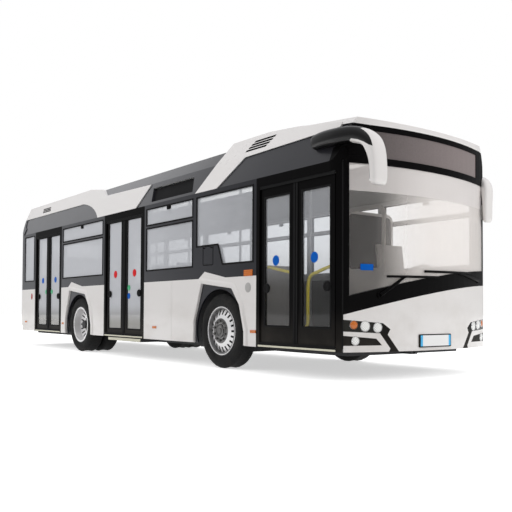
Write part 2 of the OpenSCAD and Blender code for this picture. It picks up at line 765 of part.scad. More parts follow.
module arm_part(x, z, l) across(0, body_w) polygon(place(arm_shares, [x, z], [l, hook_h]));
module body_form() {
    along_x(x_rear, corner_x) {
        polygon(section(skin_t));
        rect(-half_w - seat_gap, half_w + seat_gap, skirt_z, cant_z + seat_gap);
    }
    intersection() {
        along_x(corner_x - over, x_front) polygon(section(-seat_gap));
        plan_prism(-seat_gap, skirt_z, top_z);
    }
}
hook_x = x_front + mirror_reach - hook_l;
left_hook_x = x_front - left_hook_back - left_hook_l;
module mirror_cut(arm) difference() {
    union() {
        mirror([0, 1, 0]) mirror_half(hook_x, cant_z - hook_low, hook_l, mirror_w, arm);
        mirror_half(left_hook_x, cant_z - left_hook_low, left_hook_l, left_mirror_w, arm);
    }
    body_form();
}
module mirror_half(x, z, l, w, arm) {
    if (arm) intersection() { horn(x, z, l, w); translate([-seat_gap, 0, 0]) arm_part(x, z, l); }
    else difference() { horn(x, z, l, w); arm_part(x, z, l); }
}
module mirrors() color(white) mirror_cut(false);
module mirror_arms() color(black) mirror_cut(true);

// Wipers: each a slanting arm from its pivot to the middle of a level blade, as shares of the screen
wiper_t = 14;
wiper_w = 26;
wiper_pivot_r = 30;
wiper_shares = [[[-0.7, -0.22], [-0.41, -0.04], [-0.62, -0.045], [0.05, -0.035]],
                [[0.845, -0.04], [0.4, 0.018], [-0.155, 0.016], [0.635, 0.028]]];
module wipers() color(black) intersection() {
    difference() { plan_prism(-wiper_t, skirt_z, screen_top); plan_prism(0, 0, top_z); }
    along_x(corner_x, x_front + over + wiper_t) for (s = wiper_shares)
        let (p = place(s, [0, mask_z + band_h / 2], [screen_half, screen_half])) {
            translate(p[0]) circle(r = wiper_pivot_r, $fn = round_fn);
            polygon(ribbon([p[0], p[1]], wiper_w));
            polygon(ribbon([p[2], p[3]], wiper_w));
        }
}

// Underframe: three flat trays below the floor, open round the axles, and the ramp's cassette
tray_h = 60;
tray_half = 940;
tray_gap = 640;
pad_h = 20;
pad_w = 160;
pad_y = 850;
pad_in = 220;
tow_w = 110;
tow_back = 300;
tow_bore_r = 20;
tow_depth = 120;
ramp_half = 560;
ramp_in = 25;
ramp_t = 50;
tray_top = floor_z - panel_t;
tray_z = tray_top - tray_h;
trays = [[tail_x, x_ra - tray_gap], [x_ra + tray_gap, x_fa - tray_gap], [x_fa + tray_gap, corner_x - wall_t]];
module underframe() color(steel) difference() {
    union() {
        for (t = trays) slab([t[0], -tray_half, tray_z], [t[1], tray_half, tray_top]);
        both() for (x = [trays[1][0] + pad_in, trays[1][1] - pad_in])
            slab([x - pad_w / 2, pad_y - pad_w / 2, tray_z - pad_h],
                 [x + pad_w / 2, pad_y + pad_w / 2, tray_z]);
        slab([trays[2][1], -tow_w / 2, tray_z], [x_front - tow_back, tow_w / 2, tray_top]);
        slab([d2 - ramp_half, -half_w + ramp_in, tray_z], [d2 + ramp_half, -tray_half, tray_z + ramp_t]);
    }
    x_rod([x_front - tow_back - tow_depth, 0, (tray_z + tray_top) / 2], tow_bore_r, tow_depth + over);
}
module floor_plan() difference() {
    intersection() {
        polygon(plan(wall_t));
        translate([tail_x, -inner_y]) square([x_front - tail_x, 2 * inner_y]);
    }
    for (x = [x_fa, x_ra], s = [-1, 1])
        translate([x - box_half, s > 0 ? box_y : -half_w]) square([2 * box_half, half_w - box_y]);
}
module floor() color(grey) {
    translate([0, 0, floor_z - panel_t]) linear_extrude(panel_t) floor_plan();
    both() for (x = [x_fa, x_ra]) difference() {
        slab([x - box_half - panel_t, box_y - panel_t, floor_z], [x + box_half + panel_t, inner_y, box_z]);
        slab([x - box_half, box_y, 0], [x + box_half, half_w, box_z - panel_t]);
    }
}
rear_pack_l = 560;
rear_pack_h = 480;
rear_pack_z = floor_z + rear_pack_h;
module rear_pack() color(shade)
    slab([tail_x, -inner_y + over, floor_z], [tail_x + rear_pack_l, inner_y - over, rear_pack_z]);

// Axles
beam_drop = 110;
beam_half = 60;
drop_y = 860;
boss_r = 45;
boss_h = 140;
beam_z = tray_top - beam_drop;
module front_axle() color(steel) {
    slab([x_fa - beam_half, -drop_y, beam_z], [x_fa + beam_half, drop_y, tray_top]);
    both() difference() {
        union() {
            slab([x_fa - beam_half, drop_y - 2 * beam_half, beam_z],
                 [x_fa + beam_half, drop_y, axle_z + boss_h / 2]);
            slab([x_fa - boss_r, drop_y - over, axle_z - boss_h / 2],
                 [x_fa + boss_r, kingpin_y, axle_z + boss_h / 2]);
            rod([x_fa, kingpin_y, axle_z - boss_h / 2], boss_r, boss_h);
        }
        rod([x_fa, kingpin_y, axle_z - boss_h], kingpin_r + run_gap, 2 * boss_h);
    }
}
lug_t = 30;
lug_gap = 15;
knuckle_gap = 0.5;
hub_out = 60;
wheel_y = half_w - wheel_in - tyre_w / 2;
hub_y = wheel_y + hub_out;
twin_y = wheel_y - twin_gap;
module knuckle() color(steel) {
    y0 = kingpin_y + boss_r + lug_gap;
    rod([x_fa, kingpin_y, axle_z - boss_h / 2 - lug_t], kingpin_r, boss_h + 2 * lug_t);
    for (z = [axle_z - boss_h / 2 - lug_t - knuckle_gap, axle_z + boss_h / 2 + knuckle_gap])
        slab([x_fa - boss_r, kingpin_y - boss_r, z], [x_fa + boss_r, kingpin_y + boss_r + lug_t, z + lug_t]);
    slab([x_fa - boss_r, y0, axle_z - boss_h / 2 - lug_t],
         [x_fa + boss_r, kingpin_y + boss_r + lug_t, axle_z + boss_h / 2 + lug_t]);
    y_rod([x_fa, y0, axle_z], stub_r, hub_y - y0);
}
drum_half = 130;
drum_gap = 12;
drum_h = 110;
module rear_axle() color(steel) {
    slab([x_ra - 2 * beam_half, -box_y, beam_z], [x_ra + 2 * beam_half, box_y, tray_top]);
    both() {
        slab([x_ra - drum_half, box_y, beam_z],
             [x_ra + drum_half, twin_y - tyre_w / 2 - drum_gap, axle_z + drum_h]);
        y_rod([x_ra, box_y, axle_z], rear_stub_r, hub_y - box_y);
    }
}

// Wheels: tyre and rim are turned from outlines in shares; columns are radius and width
tyre_shares = [[0, 0.72], [0.45, 1], [0.9, 0.86], [1, 0.7], [1, -0.7], [0.9, -0.86], [0.45, -1], [0, -0.72]];
module tyre(y) translate([0, y, 0]) rotate([90, 0, 0]) rotate_extrude($fn = wheel_fn)
    polygon(place(tyre_shares, [bead_d / 2 + seat_gap, 0], [(tyre_d - bead_d) / 2 - seat_gap, tyre_w / 2]));
rim_t = 16;
flange_r = 22;
disc_t = 18;
slot_count = 20;
slot_l = 70;
slot_w = 26;
slot_in = 60;
hub_t = 60;
rim_shares = [[-0.73, 0.86], [1, 0.86], [1, 0.81], [0, 0.72], [0, -0.72], [1, -0.81], [1, -0.86],
              [-0.73, -0.86]];
// A wheel whose disc meets the rim at d0 and the hub at d1, outward of the tyre's middle, on bore b
module rim(y, d0, d1, b, hub) translate([0, y, 0]) rotate([-90, 0, 0]) difference() {
    rotate_extrude($fn = wheel_fn) {
        polygon(place(rim_shares, [bead_d / 2, 0], [flange_r, tyre_w / 2]));
        polygon([[bead_d / 2 - rim_t + over, d0], [bead_d / 2 - rim_t + over, d0 + disc_t],
                 [hub, d1 + disc_t], [b, d1 + disc_t], [b, d1 - hub_t], [hub / 2 + b / 2, d1 - hub_t],
                 [hub, d1]]);
    }
    rod([0, 0, -tyre_w], b + run_gap, 2 * tyre_w, wheel_fn);
    for (i = [0:slot_count - 1]) rotate(i * 360 / slot_count)
        translate([bead_d / 2 - slot_in - slot_l / 2, -slot_w / 2, -tyre_w])
            cube([slot_l, slot_w, 2 * tyre_w]);
}
front_disc = 45;
front_hub = 70;
rear_disc = -20;
rear_hub = -70;
front_hub_r = 150;
rear_hub_r = 160;
module front_rim() color(pale) translate([x_fa, 0, axle_z])
    rim(wheel_y, front_disc, front_hub, stub_r, front_hub_r);
module front_tyre() color(black) translate([x_fa, 0, axle_z]) tyre(wheel_y);
module rear_rims() color(pale) translate([x_ra, 0, axle_z]) {
    rim(wheel_y, rear_disc, rear_hub, rear_stub_r, rear_hub_r);
    rim(twin_y, -rear_disc, -rear_disc, rear_stub_r, rear_hub_r);
}
module rear_tyres() color(black) translate([x_ra, 0, axle_z]) { tyre(wheel_y); tyre(twin_y); }

// Seats: moulded shells in pairs on a beam and a leg
seat_h = 440;
seat_d = 420;
seat_t = 30;
seat_lean = 90;
seat_bend = 110;
back_h = 640;
seat_side = 20;
beam_t = 50;
leg_w = 60;
aisle_y = inner_y - seat_side - 2 * seat_w;
module seat_shell(w) across(0, w) polygon(ribbon(concat(
    [[seat_d, seat_h]], bend([seat_bend, seat_h], [0, seat_h], [-seat_lean / 4, seat_h + seat_bend]),
    [[-seat_lean, seat_h + back_h]]), seat_t));
module seat_pair(x, y, z) translate([x, y, z]) {
    for (i = [0, 1]) translate([0, i * seat_w, 0]) seat_shell(seat_w - seat_side);
    slab([seat_d / 2, 0, seat_h - beam_t], [seat_d / 2 + beam_t, 2 * seat_w - seat_side, seat_h]);
    slab([seat_d / 2, seat_w / 2, 0], [seat_d / 2 + leg_w, seat_w / 2 + leg_w, seat_h - beam_t / 2]);
}
left_rows = 4;
right_rows = 2;
row_gap = 185;
module seats() color(blue) {
    for (i = [0:left_rows - 1]) seat_pair(x_ra + box_half + row_gap + i * pitch, aisle_y, floor_z);
    for (i = [0:right_rows - 1])
        seat_pair(d2 + frame_half + row_gap + i * pitch, -inner_y + seat_side, floor_z);
    for (s = [-1, 1]) seat_pair(tail_x + row_gap, s * seat_w - seat_w + seat_side, rear_pack_z);
}

// Grab rails: stanchions from floor to ceiling, joined by a rail on each side of the aisle
rail_y = 515;
left_rail_y = 298;
rail_drop = 260;
pole_gap = 45;
ceiling_z = shoulder_z - roof_t;
right_poles = [d3 + frame_half + pole_gap, d2 - frame_half - pole_gap, d2 + frame_half + pole_gap, pillar_x];
left_poles = [d3, x_ra, x_ra + box_half + pitch, x_fa - box_half - pitch, x_fa];
module rail_set(xs, y) {
    for (x = xs) rod([x, y, floor_z], rail_r, ceiling_z - floor_z);
    x_rod([xs[0], y, cant_z - rail_drop], rail_r, xs[len(xs) - 1] - xs[0]);
}
module grab_rails() color(pale) { rail_set(right_poles, -rail_y); rail_set(left_poles, left_rail_y); }

// Driver's cab: dashboard, platform, seat, steering wheel, screens behind the seat and the front door
dash_back = 620;
dash_right = -260;
dash_left = 1130;
dash_shares = [[1, 0], [1, 0.86], [0.55, 1], [0.2, 0.98], [0, 0.84], [0.05, 0.7], [0.3, 0.62], [0.34, 0]];
dash_h = 860;
cab_gap = 12;
cab_y = 290;
cab_back = 1720;
cab_step = 180;
screen_t = 30;
cab_panel_h = 950;
cab_glass_h = 800;
hoop_r = 110;
hoop_w = 40;
cab_door_l = 700;
wheel_back = 840;
wheel_side = 640;
wheel_rise = 860;
wheel_at = [x_front - wheel_back, wheel_side, floor_z + wheel_rise];
wheel_tilt = 28;
wheel_r = 225;
wheel_rim_r = 16;
column_r = 32;
column_l = 420;
spoke_w = 36;
spoke_t = 14;
driver_x = 560;
driver_y = 390;
driver_w = 480;
base_w = 260;
door_screen_gap = 95;
door_screen_in = 30;
module steering_wheel() translate(wheel_at) rotate([0, -wheel_tilt, 0]) {
    rotate_extrude($fn = round_fn) translate([wheel_r, 0]) circle(r = wheel_rim_r, $fn = round_fn / 2);
    rod([0, 0, -column_l], column_r, column_l);
    slab([-spoke_w / 2, -wheel_r, -spoke_t / 2], [spoke_w / 2, wheel_r, spoke_t / 2]);
}
module hoop(y0, y1, lo, hi) across(y0, y1) difference() {
    polygon(round_rect(lo, hi, hoop_r));
    polygon(round_rect(lo + [hoop_w, hoop_w], hi - [hoop_w, hoop_w], hoop_r - hoop_w));
}
module driver_cab() color(pale) {
    x0 = x_front - cab_back;
    z1 = floor_z + cab_panel_h;
    intersection() {
        plan_prism(wall_t + cab_gap, floor_z, top_z);
        union() {
            across(dash_right, dash_left)
                polygon(place(dash_shares, [x_front - dash_back, floor_z], [dash_back, dash_h]));
            slab([x0, cab_y, floor_z], [x_front - dash_back / 2, inner_y, floor_z + cab_step]);
        }
    }
    steering_wheel();
    translate([x0 + driver_x, driver_y, floor_z + cab_step]) {
        seat_shell(driver_w);
        slab([seat_bend, (driver_w - base_w) / 2, 0], [seat_bend + base_w, (driver_w + base_w) / 2, seat_h]);
    }
    slab([x0, cab_y, floor_z], [x0 + screen_t, inner_y - cab_gap, z1]);
    along_x(x0, x0 + screen_t) difference() {
        polygon(round_rect([cab_y, z1 - hoop_r], [inner_y - cab_gap, z1 + cab_glass_h], hoop_r));
        polygon(round_rect([cab_y + hoop_w, z1], [inner_y - cab_gap - hoop_w, z1 + cab_glass_h - hoop_w],
                           hoop_r - hoop_w));
    }
    slab([x0, cab_y, floor_z], [x0 + cab_door_l, cab_y + screen_t, z1]);
    hoop(cab_y, cab_y + screen_t, [x0, z1 - hoop_w], [x0 + cab_door_l, z1 + cab_glass_h]);
    slab([d1 - frame_half - door_screen_gap, -inner_y + door_screen_in, floor_z],
         [d1 - frame_half - door_screen_gap + screen_t, -rail_y - hoop_w, z1]);
}

module door_node(d, s, name) {
    leaf(d, s);
    pane(d, s);
    post(d, s);
}

underframe();
floor();
skirts();
arch_panels();
side_band_right();
side_band_left();
door_portals();
door_drives();
roof();
front_fairing();
rear_fairing();
roof_packs();
front_mask();
front_surround();
rear_wall();
rear_flap();
charge_flap();
windscreen();
windows();
front_lamps();
rear_lamps();
side_markers();
mirrors();
mirror_arms();
wipers();
rear_pack();
front_axle();
rear_axle();
seats();
grab_rails();
driver_cab();
mirror([0, 1, 0]) knuckle();  // knuckle_right
knuckle();  // knuckle_left
mirror([0, 1, 0]) front_rim();  // rim_front_right
front_rim();  // rim_front_left
mirror([0, 1, 0]) rear_rims();  // rim_rear_right
rear_rims();  // rim_rear_left
mirror([0, 1, 0]) front_tyre();  // tyre_front_right
front_tyre();  // tyre_front_left
mirror([0, 1, 0]) rear_tyres();  // tyre_rear_right
rear_tyres();  // tyre_rear_left
for (d = doors) {
    door_node(d, 1, "fore");
    door_node(d, -1, "aft");
}
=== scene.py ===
import math
from functools import partialmethod

import bpy
import numpy as np
from mathutils import Matrix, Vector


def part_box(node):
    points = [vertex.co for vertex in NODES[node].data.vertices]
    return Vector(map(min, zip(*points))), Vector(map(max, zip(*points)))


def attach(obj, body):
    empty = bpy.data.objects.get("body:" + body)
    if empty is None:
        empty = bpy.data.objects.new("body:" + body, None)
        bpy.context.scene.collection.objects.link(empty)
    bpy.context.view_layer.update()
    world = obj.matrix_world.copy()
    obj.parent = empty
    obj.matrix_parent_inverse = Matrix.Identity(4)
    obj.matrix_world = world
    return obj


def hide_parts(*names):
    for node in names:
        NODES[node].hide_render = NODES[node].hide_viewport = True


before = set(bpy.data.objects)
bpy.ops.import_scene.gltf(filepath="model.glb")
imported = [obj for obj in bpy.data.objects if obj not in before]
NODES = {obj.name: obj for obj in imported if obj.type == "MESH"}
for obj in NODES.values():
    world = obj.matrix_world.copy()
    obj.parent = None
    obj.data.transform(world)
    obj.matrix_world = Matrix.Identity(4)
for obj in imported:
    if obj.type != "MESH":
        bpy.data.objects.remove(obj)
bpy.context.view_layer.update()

bl_info = {
    "name": "Electric city bus",
    "version": (1, 0, 0),
    "blender": (4, 5, 0),
    "location": "View3D > Sidebar > Bus",
    "description": "Finishes, trim, wheels and interior dressing for a low-floor electric city bus",
    "category": "Object",
}

X, Y, Z = np.eye(3)


def middle(node):
    """The middle of a CAD node's box as an array."""
    lo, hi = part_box(node)
    return (np.array(lo) + np.array(hi)) / 2


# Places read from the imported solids, in metres
FRONT_AXLE, _, AXLE_Z = (float(v) for v in middle("tyre_front_right"))
REAR_AXLE = float(middle("tyre_rear_right")[0])
TYRE_R = AXLE_Z
SIDE = float(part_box("skirts")[1][1])
FRONT = float(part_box("front_mask")[1][0])
REAR = float(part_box("rear_wall")[0][0])
BELT = float(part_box("side_band_left")[0][2])
DOORS = {d: float((middle(f"{d}_door_leaf_fore")[0] + middle(f"{d}_door_leaf_aft")[0]) / 2)
         for d in ("front", "middle", "rear")}

# Sizes that the solids have too, in metres: radius of the bowed front, corner radius of the tail, and levels
# of the floor and the ceiling
BOW_R = 3.57
TAIL_R = 0.35
FLOOR_Z = 0.34
CEILING_Z = 2.79
# Lower and upper edge of the side panes
PANE_LOW, PANE_TOP = 1.325, 2.245
# Slots of the fairings, with painted shade in them: first x, count and lean of each group; then foot of the
# first, pitch, height, length
VENTS = ((FRONT_AXLE + 0.33, 4, 0.038), (REAR_AXLE - 2.28, 3, -0.038))
VENT_Z, VENT_PITCH, VENT_H, VENT_L = 2.732, 0.036, 0.025, 0.42
# Sunk panel in the right-hand cove, which grey_paint darkens with painted shade: tail end, length, foot,
# height, and slant of its ends as a share of its length
SUNK_X, SUNK_L, SUNK_Z, SUNK_H, SUNK_SLANT = FRONT_AXLE - 1.945, 1.255, 2.355, 0.23, 0.08
# An x between the axles, and how far in from the sides a face has to lie to get the lining of the saloon
BETWEEN_AXLES = 0.3
WALL = 0.0595


# Surfaces: each is a pair of points and blocks of faces, and a block is an array with one face in each row


def unit(v):
    """A vector at length 1."""
    v = np.array(v, float)
    return v / np.linalg.norm(v)


def grid(nu, nv, wrap_u=False, wrap_v=False):
    """Quads of a grid of nu by nv points, row by row, with either direction closed on itself."""
    u = np.arange(nu if wrap_u else nu - 1)
    v = np.arange(nv if wrap_v else nv - 1)
    a, b = np.meshgrid(u, v, indexing="ij")
    a2, b2 = (a + 1) % nu, (b + 1) % nv
    return np.stack([a * nv + b, a2 * nv + b, a2 * nv + b2, a * nv + b2], -1).reshape(-1, 4)


def ends(n, last, flip=False):
    """The two end faces of a section of n points carried along a line; its last ring starts at point last."""
    ring = np.arange(n)
    pair = np.stack([ring, last + ring[::-1]])
    return pair[:, ::-1] if flip else pair


def join(parts):
    """Several surfaces as one, each block of faces moved past the points before it."""
    starts = np.cumsum([0] + [len(points) for points, _ in parts])
    faces = [block + start for start, (_, blocks) in zip(starts, parts) for block in blocks]
    return np.concatenate([points for points, _ in parts]), faces


def revolve(profile, segments, centre, axis):
    """A closed (radius, distance) profile turned about an axis through centre: centre + r cos(t) e1 +
    r sin(t) e2 + d axis, for t round the circle."""
    axis = unit(axis)
    e1 = unit(np.cross(axis, Z if abs(axis[2]) < 0.9 else X))
    e2 = np.cross(axis, e1)
    t = np.linspace(0, 2 * np.pi, segments, endpoint=False)
    ring = np.cos(t)[:, None] * e1 + np.sin(t)[:, None] * e2
    profile = np.asarray(profile, float)
    points = np.array(centre, float) + profile[None, :, :1] * ring[:, None, :] + profile[None, :, 1:] * axis
    return points.reshape(-1, 3), [grid(segments, len(profile), True, True)]


def lathe(profile, segments, centre, axis):
    """An open profile that starts and ends on the axis, turned about it as in revolve, with its two poles
    closed as fans."""
    points, (quads,) = revolve(profile[1:-1], segments, centre, axis)
    n = len(profile) - 2
    quads = quads[np.abs(quads[:, 0] % n - quads[:, 3] % n) == 1]
    poles = np.array(centre, float) + np.array([[profile[0][1]], [profile[-1][1]]]) * unit(axis)
    ring = np.arange(segments) * n
    after = np.roll(ring, -1)
    pole = np.full(segments, len(points))
    first = np.stack([pole, after, ring], 1)
    last = np.stack([pole + 1, ring + n - 1, after + n - 1], 1)
    return np.vstack([points, poles]), [quads, first, last]


def tube(path, radius, sides=10):
    """A round section carried along a path: path(s) + radius(s) (cos t n1 + sin t n2), with n1 and n2 turned
    along it by projection, and both ends closed."""
    path = np.asarray(path, float)
    along = np.gradient(path, axis=0)
    along /= np.linalg.norm(along, axis=1)[:, None]
    ref = Y if abs(along[0][1]) < 0.9 else Z
    n1 = ref - (along @ ref)[:, None] * along
    n1 /= np.linalg.norm(n1, axis=1)[:, None]
    n2 = np.cross(along, n1)
    t = np.linspace(0, 2 * np.pi, sides, endpoint=False)
    ring = np.cos(t)[None, :, None] * n1[:, None] + np.sin(t)[None, :, None] * n2[:, None]
    points = path[:, None] + np.reshape(radius, (-1, 1, 1)) * ring
    return points.reshape(-1, 3), [grid(len(path), sides, False, True), ends(sides, (len(path) - 1) * sides)]


def smooth_path(points, steps=8):
    """A line through the given points, each piece a Catmull-Rom curve sampled at the given steps."""
    p = np.asarray(points, float)
    p = np.vstack([2 * p[0] - p[1], p, 2 * p[-1] - p[-2]])
    a, b, c, d = (p[i:len(p) - 3 + i, None] for i in range(4))
    t = np.linspace(0, 1, steps, endpoint=False)[:, None]
    bend, twist = 2 * a - 5 * b + 4 * c - d, 3 * b - a - 3 * c + d
    rows = 0.5 * (2 * b + (c - a) * t + bend * t ** 2 + twist * t ** 3)
    return np.vstack([rows.reshape(-1, p.shape[1]), p[-2:-1]])


def frame_strip(outline, section, origin, e1, e2, closed=True):
    """A section of (outward, proud) steps carried round a flat outline: origin + (q + a n) on e1, e2 + b e3,
    where n is the mitred outward normal at each corner q and e3 is e1 cross e2."""
    q = np.asarray(outline, float)
    before, after = np.roll(q, 1, 0), np.roll(q, -1, 0)
    if not closed:
        before[0], after[-1] = 2 * q[0] - q[1], 2 * q[-1] - q[-2]
    d0, d1 = q - before, after - q
    d0 /= np.linalg.norm(d0, axis=1)[:, None]
    d1 /= np.linalg.norm(d1, axis=1)[:, None]
    n0, n1 = np.stack([d0[:, 1], -d0[:, 0]], 1), np.stack([d1[:, 1], -d1[:, 0]], 1)
    n = n0 + n1
    n /= np.maximum((n * n0).sum(1), 0.35)[:, None]
    s = np.asarray(section, float)
    flat = q[:, None] + s[None, :, :1] * n[:, None]
    proud = s[None, :, 1:] * np.cross(e1, e2)
    points = np.array(origin, float) + flat[..., :1] * e1 + flat[..., 1:] * e2 + proud
    faces = [grid(len(q), len(s), closed, True)]
    if not closed:
        faces.append(ends(len(s), (len(q) - 1) * len(s)))
    return points.reshape(-1, 3), faces


def side_strip(outline, section, s, closed=True):
    """A section carried round an (x, z) outline on the right side, s = -1, or mirrored on the left, s = 1."""
    q = np.asarray(outline, float)
    if s > 0:
        q = (q * [-1, 1])[::-1]
    return frame_strip(q, section, s * SIDE * Y, -s * X, Z, closed)


def pillow(centre, half, power=4.0, n=9, crown=0.35):
    """A closed superellipsoid block: each axis is sign(c) |c|^(2/power) of a sphere's direction, with the
    faces crowned by pulling the edges in by the given share of the thinnest half size."""
    u = np.linspace(-np.pi / 2, np.pi / 2, n)
    v = np.linspace(-np.pi, np.pi, 2 * n, endpoint=False)
    a, b = np.meshgrid(u, v, indexing="ij")
    ways = np.stack([np.cos(a), np.cos(b), np.sin(b), np.sin(a)])
    flat, ahead, across, up = np.sign(ways) * np.abs(ways) ** (2.0 / power)
    shape = np.stack([flat * ahead, flat * across, up], -1)
    half = np.array(half, float)
    thin = int(np.argmin(half))
    edge = np.clip(np.abs(np.delete(shape, thin, -1)).max(-1), 0, 1)
    shape[..., thin] *= 1 - crown * edge ** 2
    return (np.array(centre, float) + shape * half).reshape(-1, 3), [grid(n, 2 * n, False, True)]


def rounded(lo, hi, r, n=5):
    """Corners of a rectangle with rounded corners, counter-clockwise, as a flat outline."""
    t = np.linspace(0, np.pi / 2, n)
    corners = ((hi[0] - r, hi[1] - r), (lo[0] + r, hi[1] - r), (lo[0] + r, lo[1] + r), (hi[0] - r, lo[1] + r))
    turns = [t + k * np.pi / 2 for k in range(4)]
    return np.vstack([np.array(c) + r * np.stack([np.cos(a), np.sin(a)], 1) for c, a in zip(corners, turns)])


def rectangle(lo, hi):
    """Corners of a rectangle, counter-clockwise from its lower left, as a flat outline."""
    return [(lo[0], lo[1]), (hi[0], lo[1]), (hi[0], hi[1]), (lo[0], hi[1])]


def plate(outline, depth, origin, e1, e2):
    """A flat outline with a thickness: its front face, its back face and the walls between them."""
    q = np.asarray(outline, float)
    n = len(q)
    flat = np.array(origin, float) + q[:, :1] * e1 + q[:, 1:] * e2
    return np.vstack([flat + depth * np.cross(e1, e2), flat]), [ends(n, n), grid(2, n, False, True)]


def sweep_x(section, x0, x1, y):
    """A closed (inward, height) section carried straight along x from x0 to x1, with both ends closed."""
    q = np.asarray(section, float)
    n = len(q)
    points = np.stack([np.repeat([x0, x1], n), np.tile(y + q[:, 0], 2), np.tile(q[:, 1], 2)], 1)
    return points, [grid(2, n, False, True), ends(n, n, True)]


def bow_x(y):
    """Where the bowed front face lies at a distance y from the middle: an arc of radius BOW_R."""
    return FRONT - BOW_R + np.sqrt(BOW_R ** 2 - np.asarray(y, float) ** 2)


def bow_normal(y):
    """The direction out of the bowed front face at a distance y from the middle."""
    return np.array([math.sqrt(BOW_R ** 2 - y * y), y, 0.0]) / BOW_R


def bow_plate(y0, y1, z0, z1, low, proud, n=9):
    """A thin plate laid on the bowed front: bow_x(y) + d along x, for d at its back and its face."""
    y = np.linspace(y0, y1, n)
    ring = ((low, z0), (proud, z0), (proud, z1), (low, z1))
    points = np.stack([np.stack([bow_x(y) + d, y, np.full(n, z)], 1) for d, z in ring], 1)
    return points.reshape(-1, 3), [grid(n, 4, False, True), ends(4, (n - 1) * 4, True)]


def piece(name, surface, body, look, angle=35.0):
    """Puts a surface into a mesh object at the origin, gives it its finish and lets it ride on its body."""
    points, faces = surface
    mesh = bpy.data.meshes.new(name)
    mesh.from_pydata(points.tolist(), [], [face for block in faces for face in block.tolist()])
    mesh.validate()
    mesh.shade_smooth()
    mesh.set_sharp_from_angle(angle=math.radians(angle))
    mesh.materials.append(finish(look))
    obj = bpy.data.objects.new(name, mesh)
    bpy.context.scene.collection.objects.link(obj)
    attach(obj, body)
    return obj


# Finishes


class Wire:
    """A socket of a node tree; sums on it add Math nodes, and node() adds any other node."""

    def __init__(self, tree, socket):
        self.tree = tree
        self.socket = socket

    def node(self, kind, settings=None, sockets=None, out=0):
        """Adds a node with its settings, puts values or wires on its sockets and gives one of its outputs."""
        made = self.tree.nodes.new(kind)
        for name, value in (settings or {}).items():
            if name == "stops":
                ramp = made.color_ramp
                while len(ramp.elements) < len(value):
                    ramp.elements.new(0.5)
                for element, (at, colour) in zip(ramp.elements, value):
                    element.position, element.color = at, colour
            else:
                setattr(made, name, value)
        for key, value in (sockets or {}).items():
            socket = made.inputs[key]
            if isinstance(value, Wire):
                self.tree.links.new(value.socket, socket)
            else:
                socket.default_value = value
        return Wire(self.tree, made.outputs[out] if made.outputs else None)

    def outputs(self, *keys):
        """Other outputs of the node that this socket belongs to."""
        return [Wire(self.tree, self.socket.node.outputs[key]) for key in keys]

    def math(self, operation, other, swap=False):
        """A Math node on this value and another value or wire, which comes first where they are swapped."""
        a, b = (other, self) if swap else (self, other)
        return self.node("ShaderNodeMath", {"operation": operation}, {0: a, 1: b})

    __add__ = partialmethod(math, "ADD")
    __radd__ = partialmethod(math, "ADD", swap=True)
    __sub__ = partialmethod(math, "SUBTRACT")
    __rsub__ = partialmethod(math, "SUBTRACT", swap=True)
    __mul__ = partialmethod(math, "MULTIPLY")
    __rmul__ = partialmethod(math, "MULTIPLY", swap=True)
    __truediv__ = partialmethod(math, "DIVIDE")
    __rtruediv__ = partialmethod(math, "DIVIDE", swap=True)
    __pow__ = partialmethod(math, "POWER")
    __rpow__ = partialmethod(math, "POWER", swap=True)
    above = partialmethod(math, "GREATER_THAN")
    below = partialmethod(math, "LESS_THAN")
    most = partialmethod(math, "MAXIMUM")
    sine = partialmethod(math, "SINE", 0.0)
    size = partialmethod(math, "ABSOLUTE", 0.0)
    whole = partialmethod(math, "FLOOR", 0.0)

    def soft(self, low, high):
        """0 below low, 1 above high, and a smooth step between them."""
        return self.node("ShaderNodeMapRange", {"interpolation_type": "SMOOTHSTEP"},
                         {"Value": self, "From Min": low, "From Max": high})

    def mix(self, a, b):
        """Colour a where this value is 0, and colour b where it is 1."""
        return self.node("ShaderNodeMix", {"data_type": "RGBA"}, {"Factor": self, 6: a, 7: b}, 2)

    def blend(self, a, b):
        """Shader a where this value is 0, and shader b where it is 1."""
        return self.node("ShaderNodeMixShader", sockets={0: self, 1: a, 2: b})


def rgba(c):
    """A colour with its alpha of 1."""
    return (float(c[0]), float(c[1]), float(c[2]), 1.0)


def tone(c, k):
    """A colour made lighter or darker by the factor k."""
    return rgba([min(1.0, v * k) for v in c])


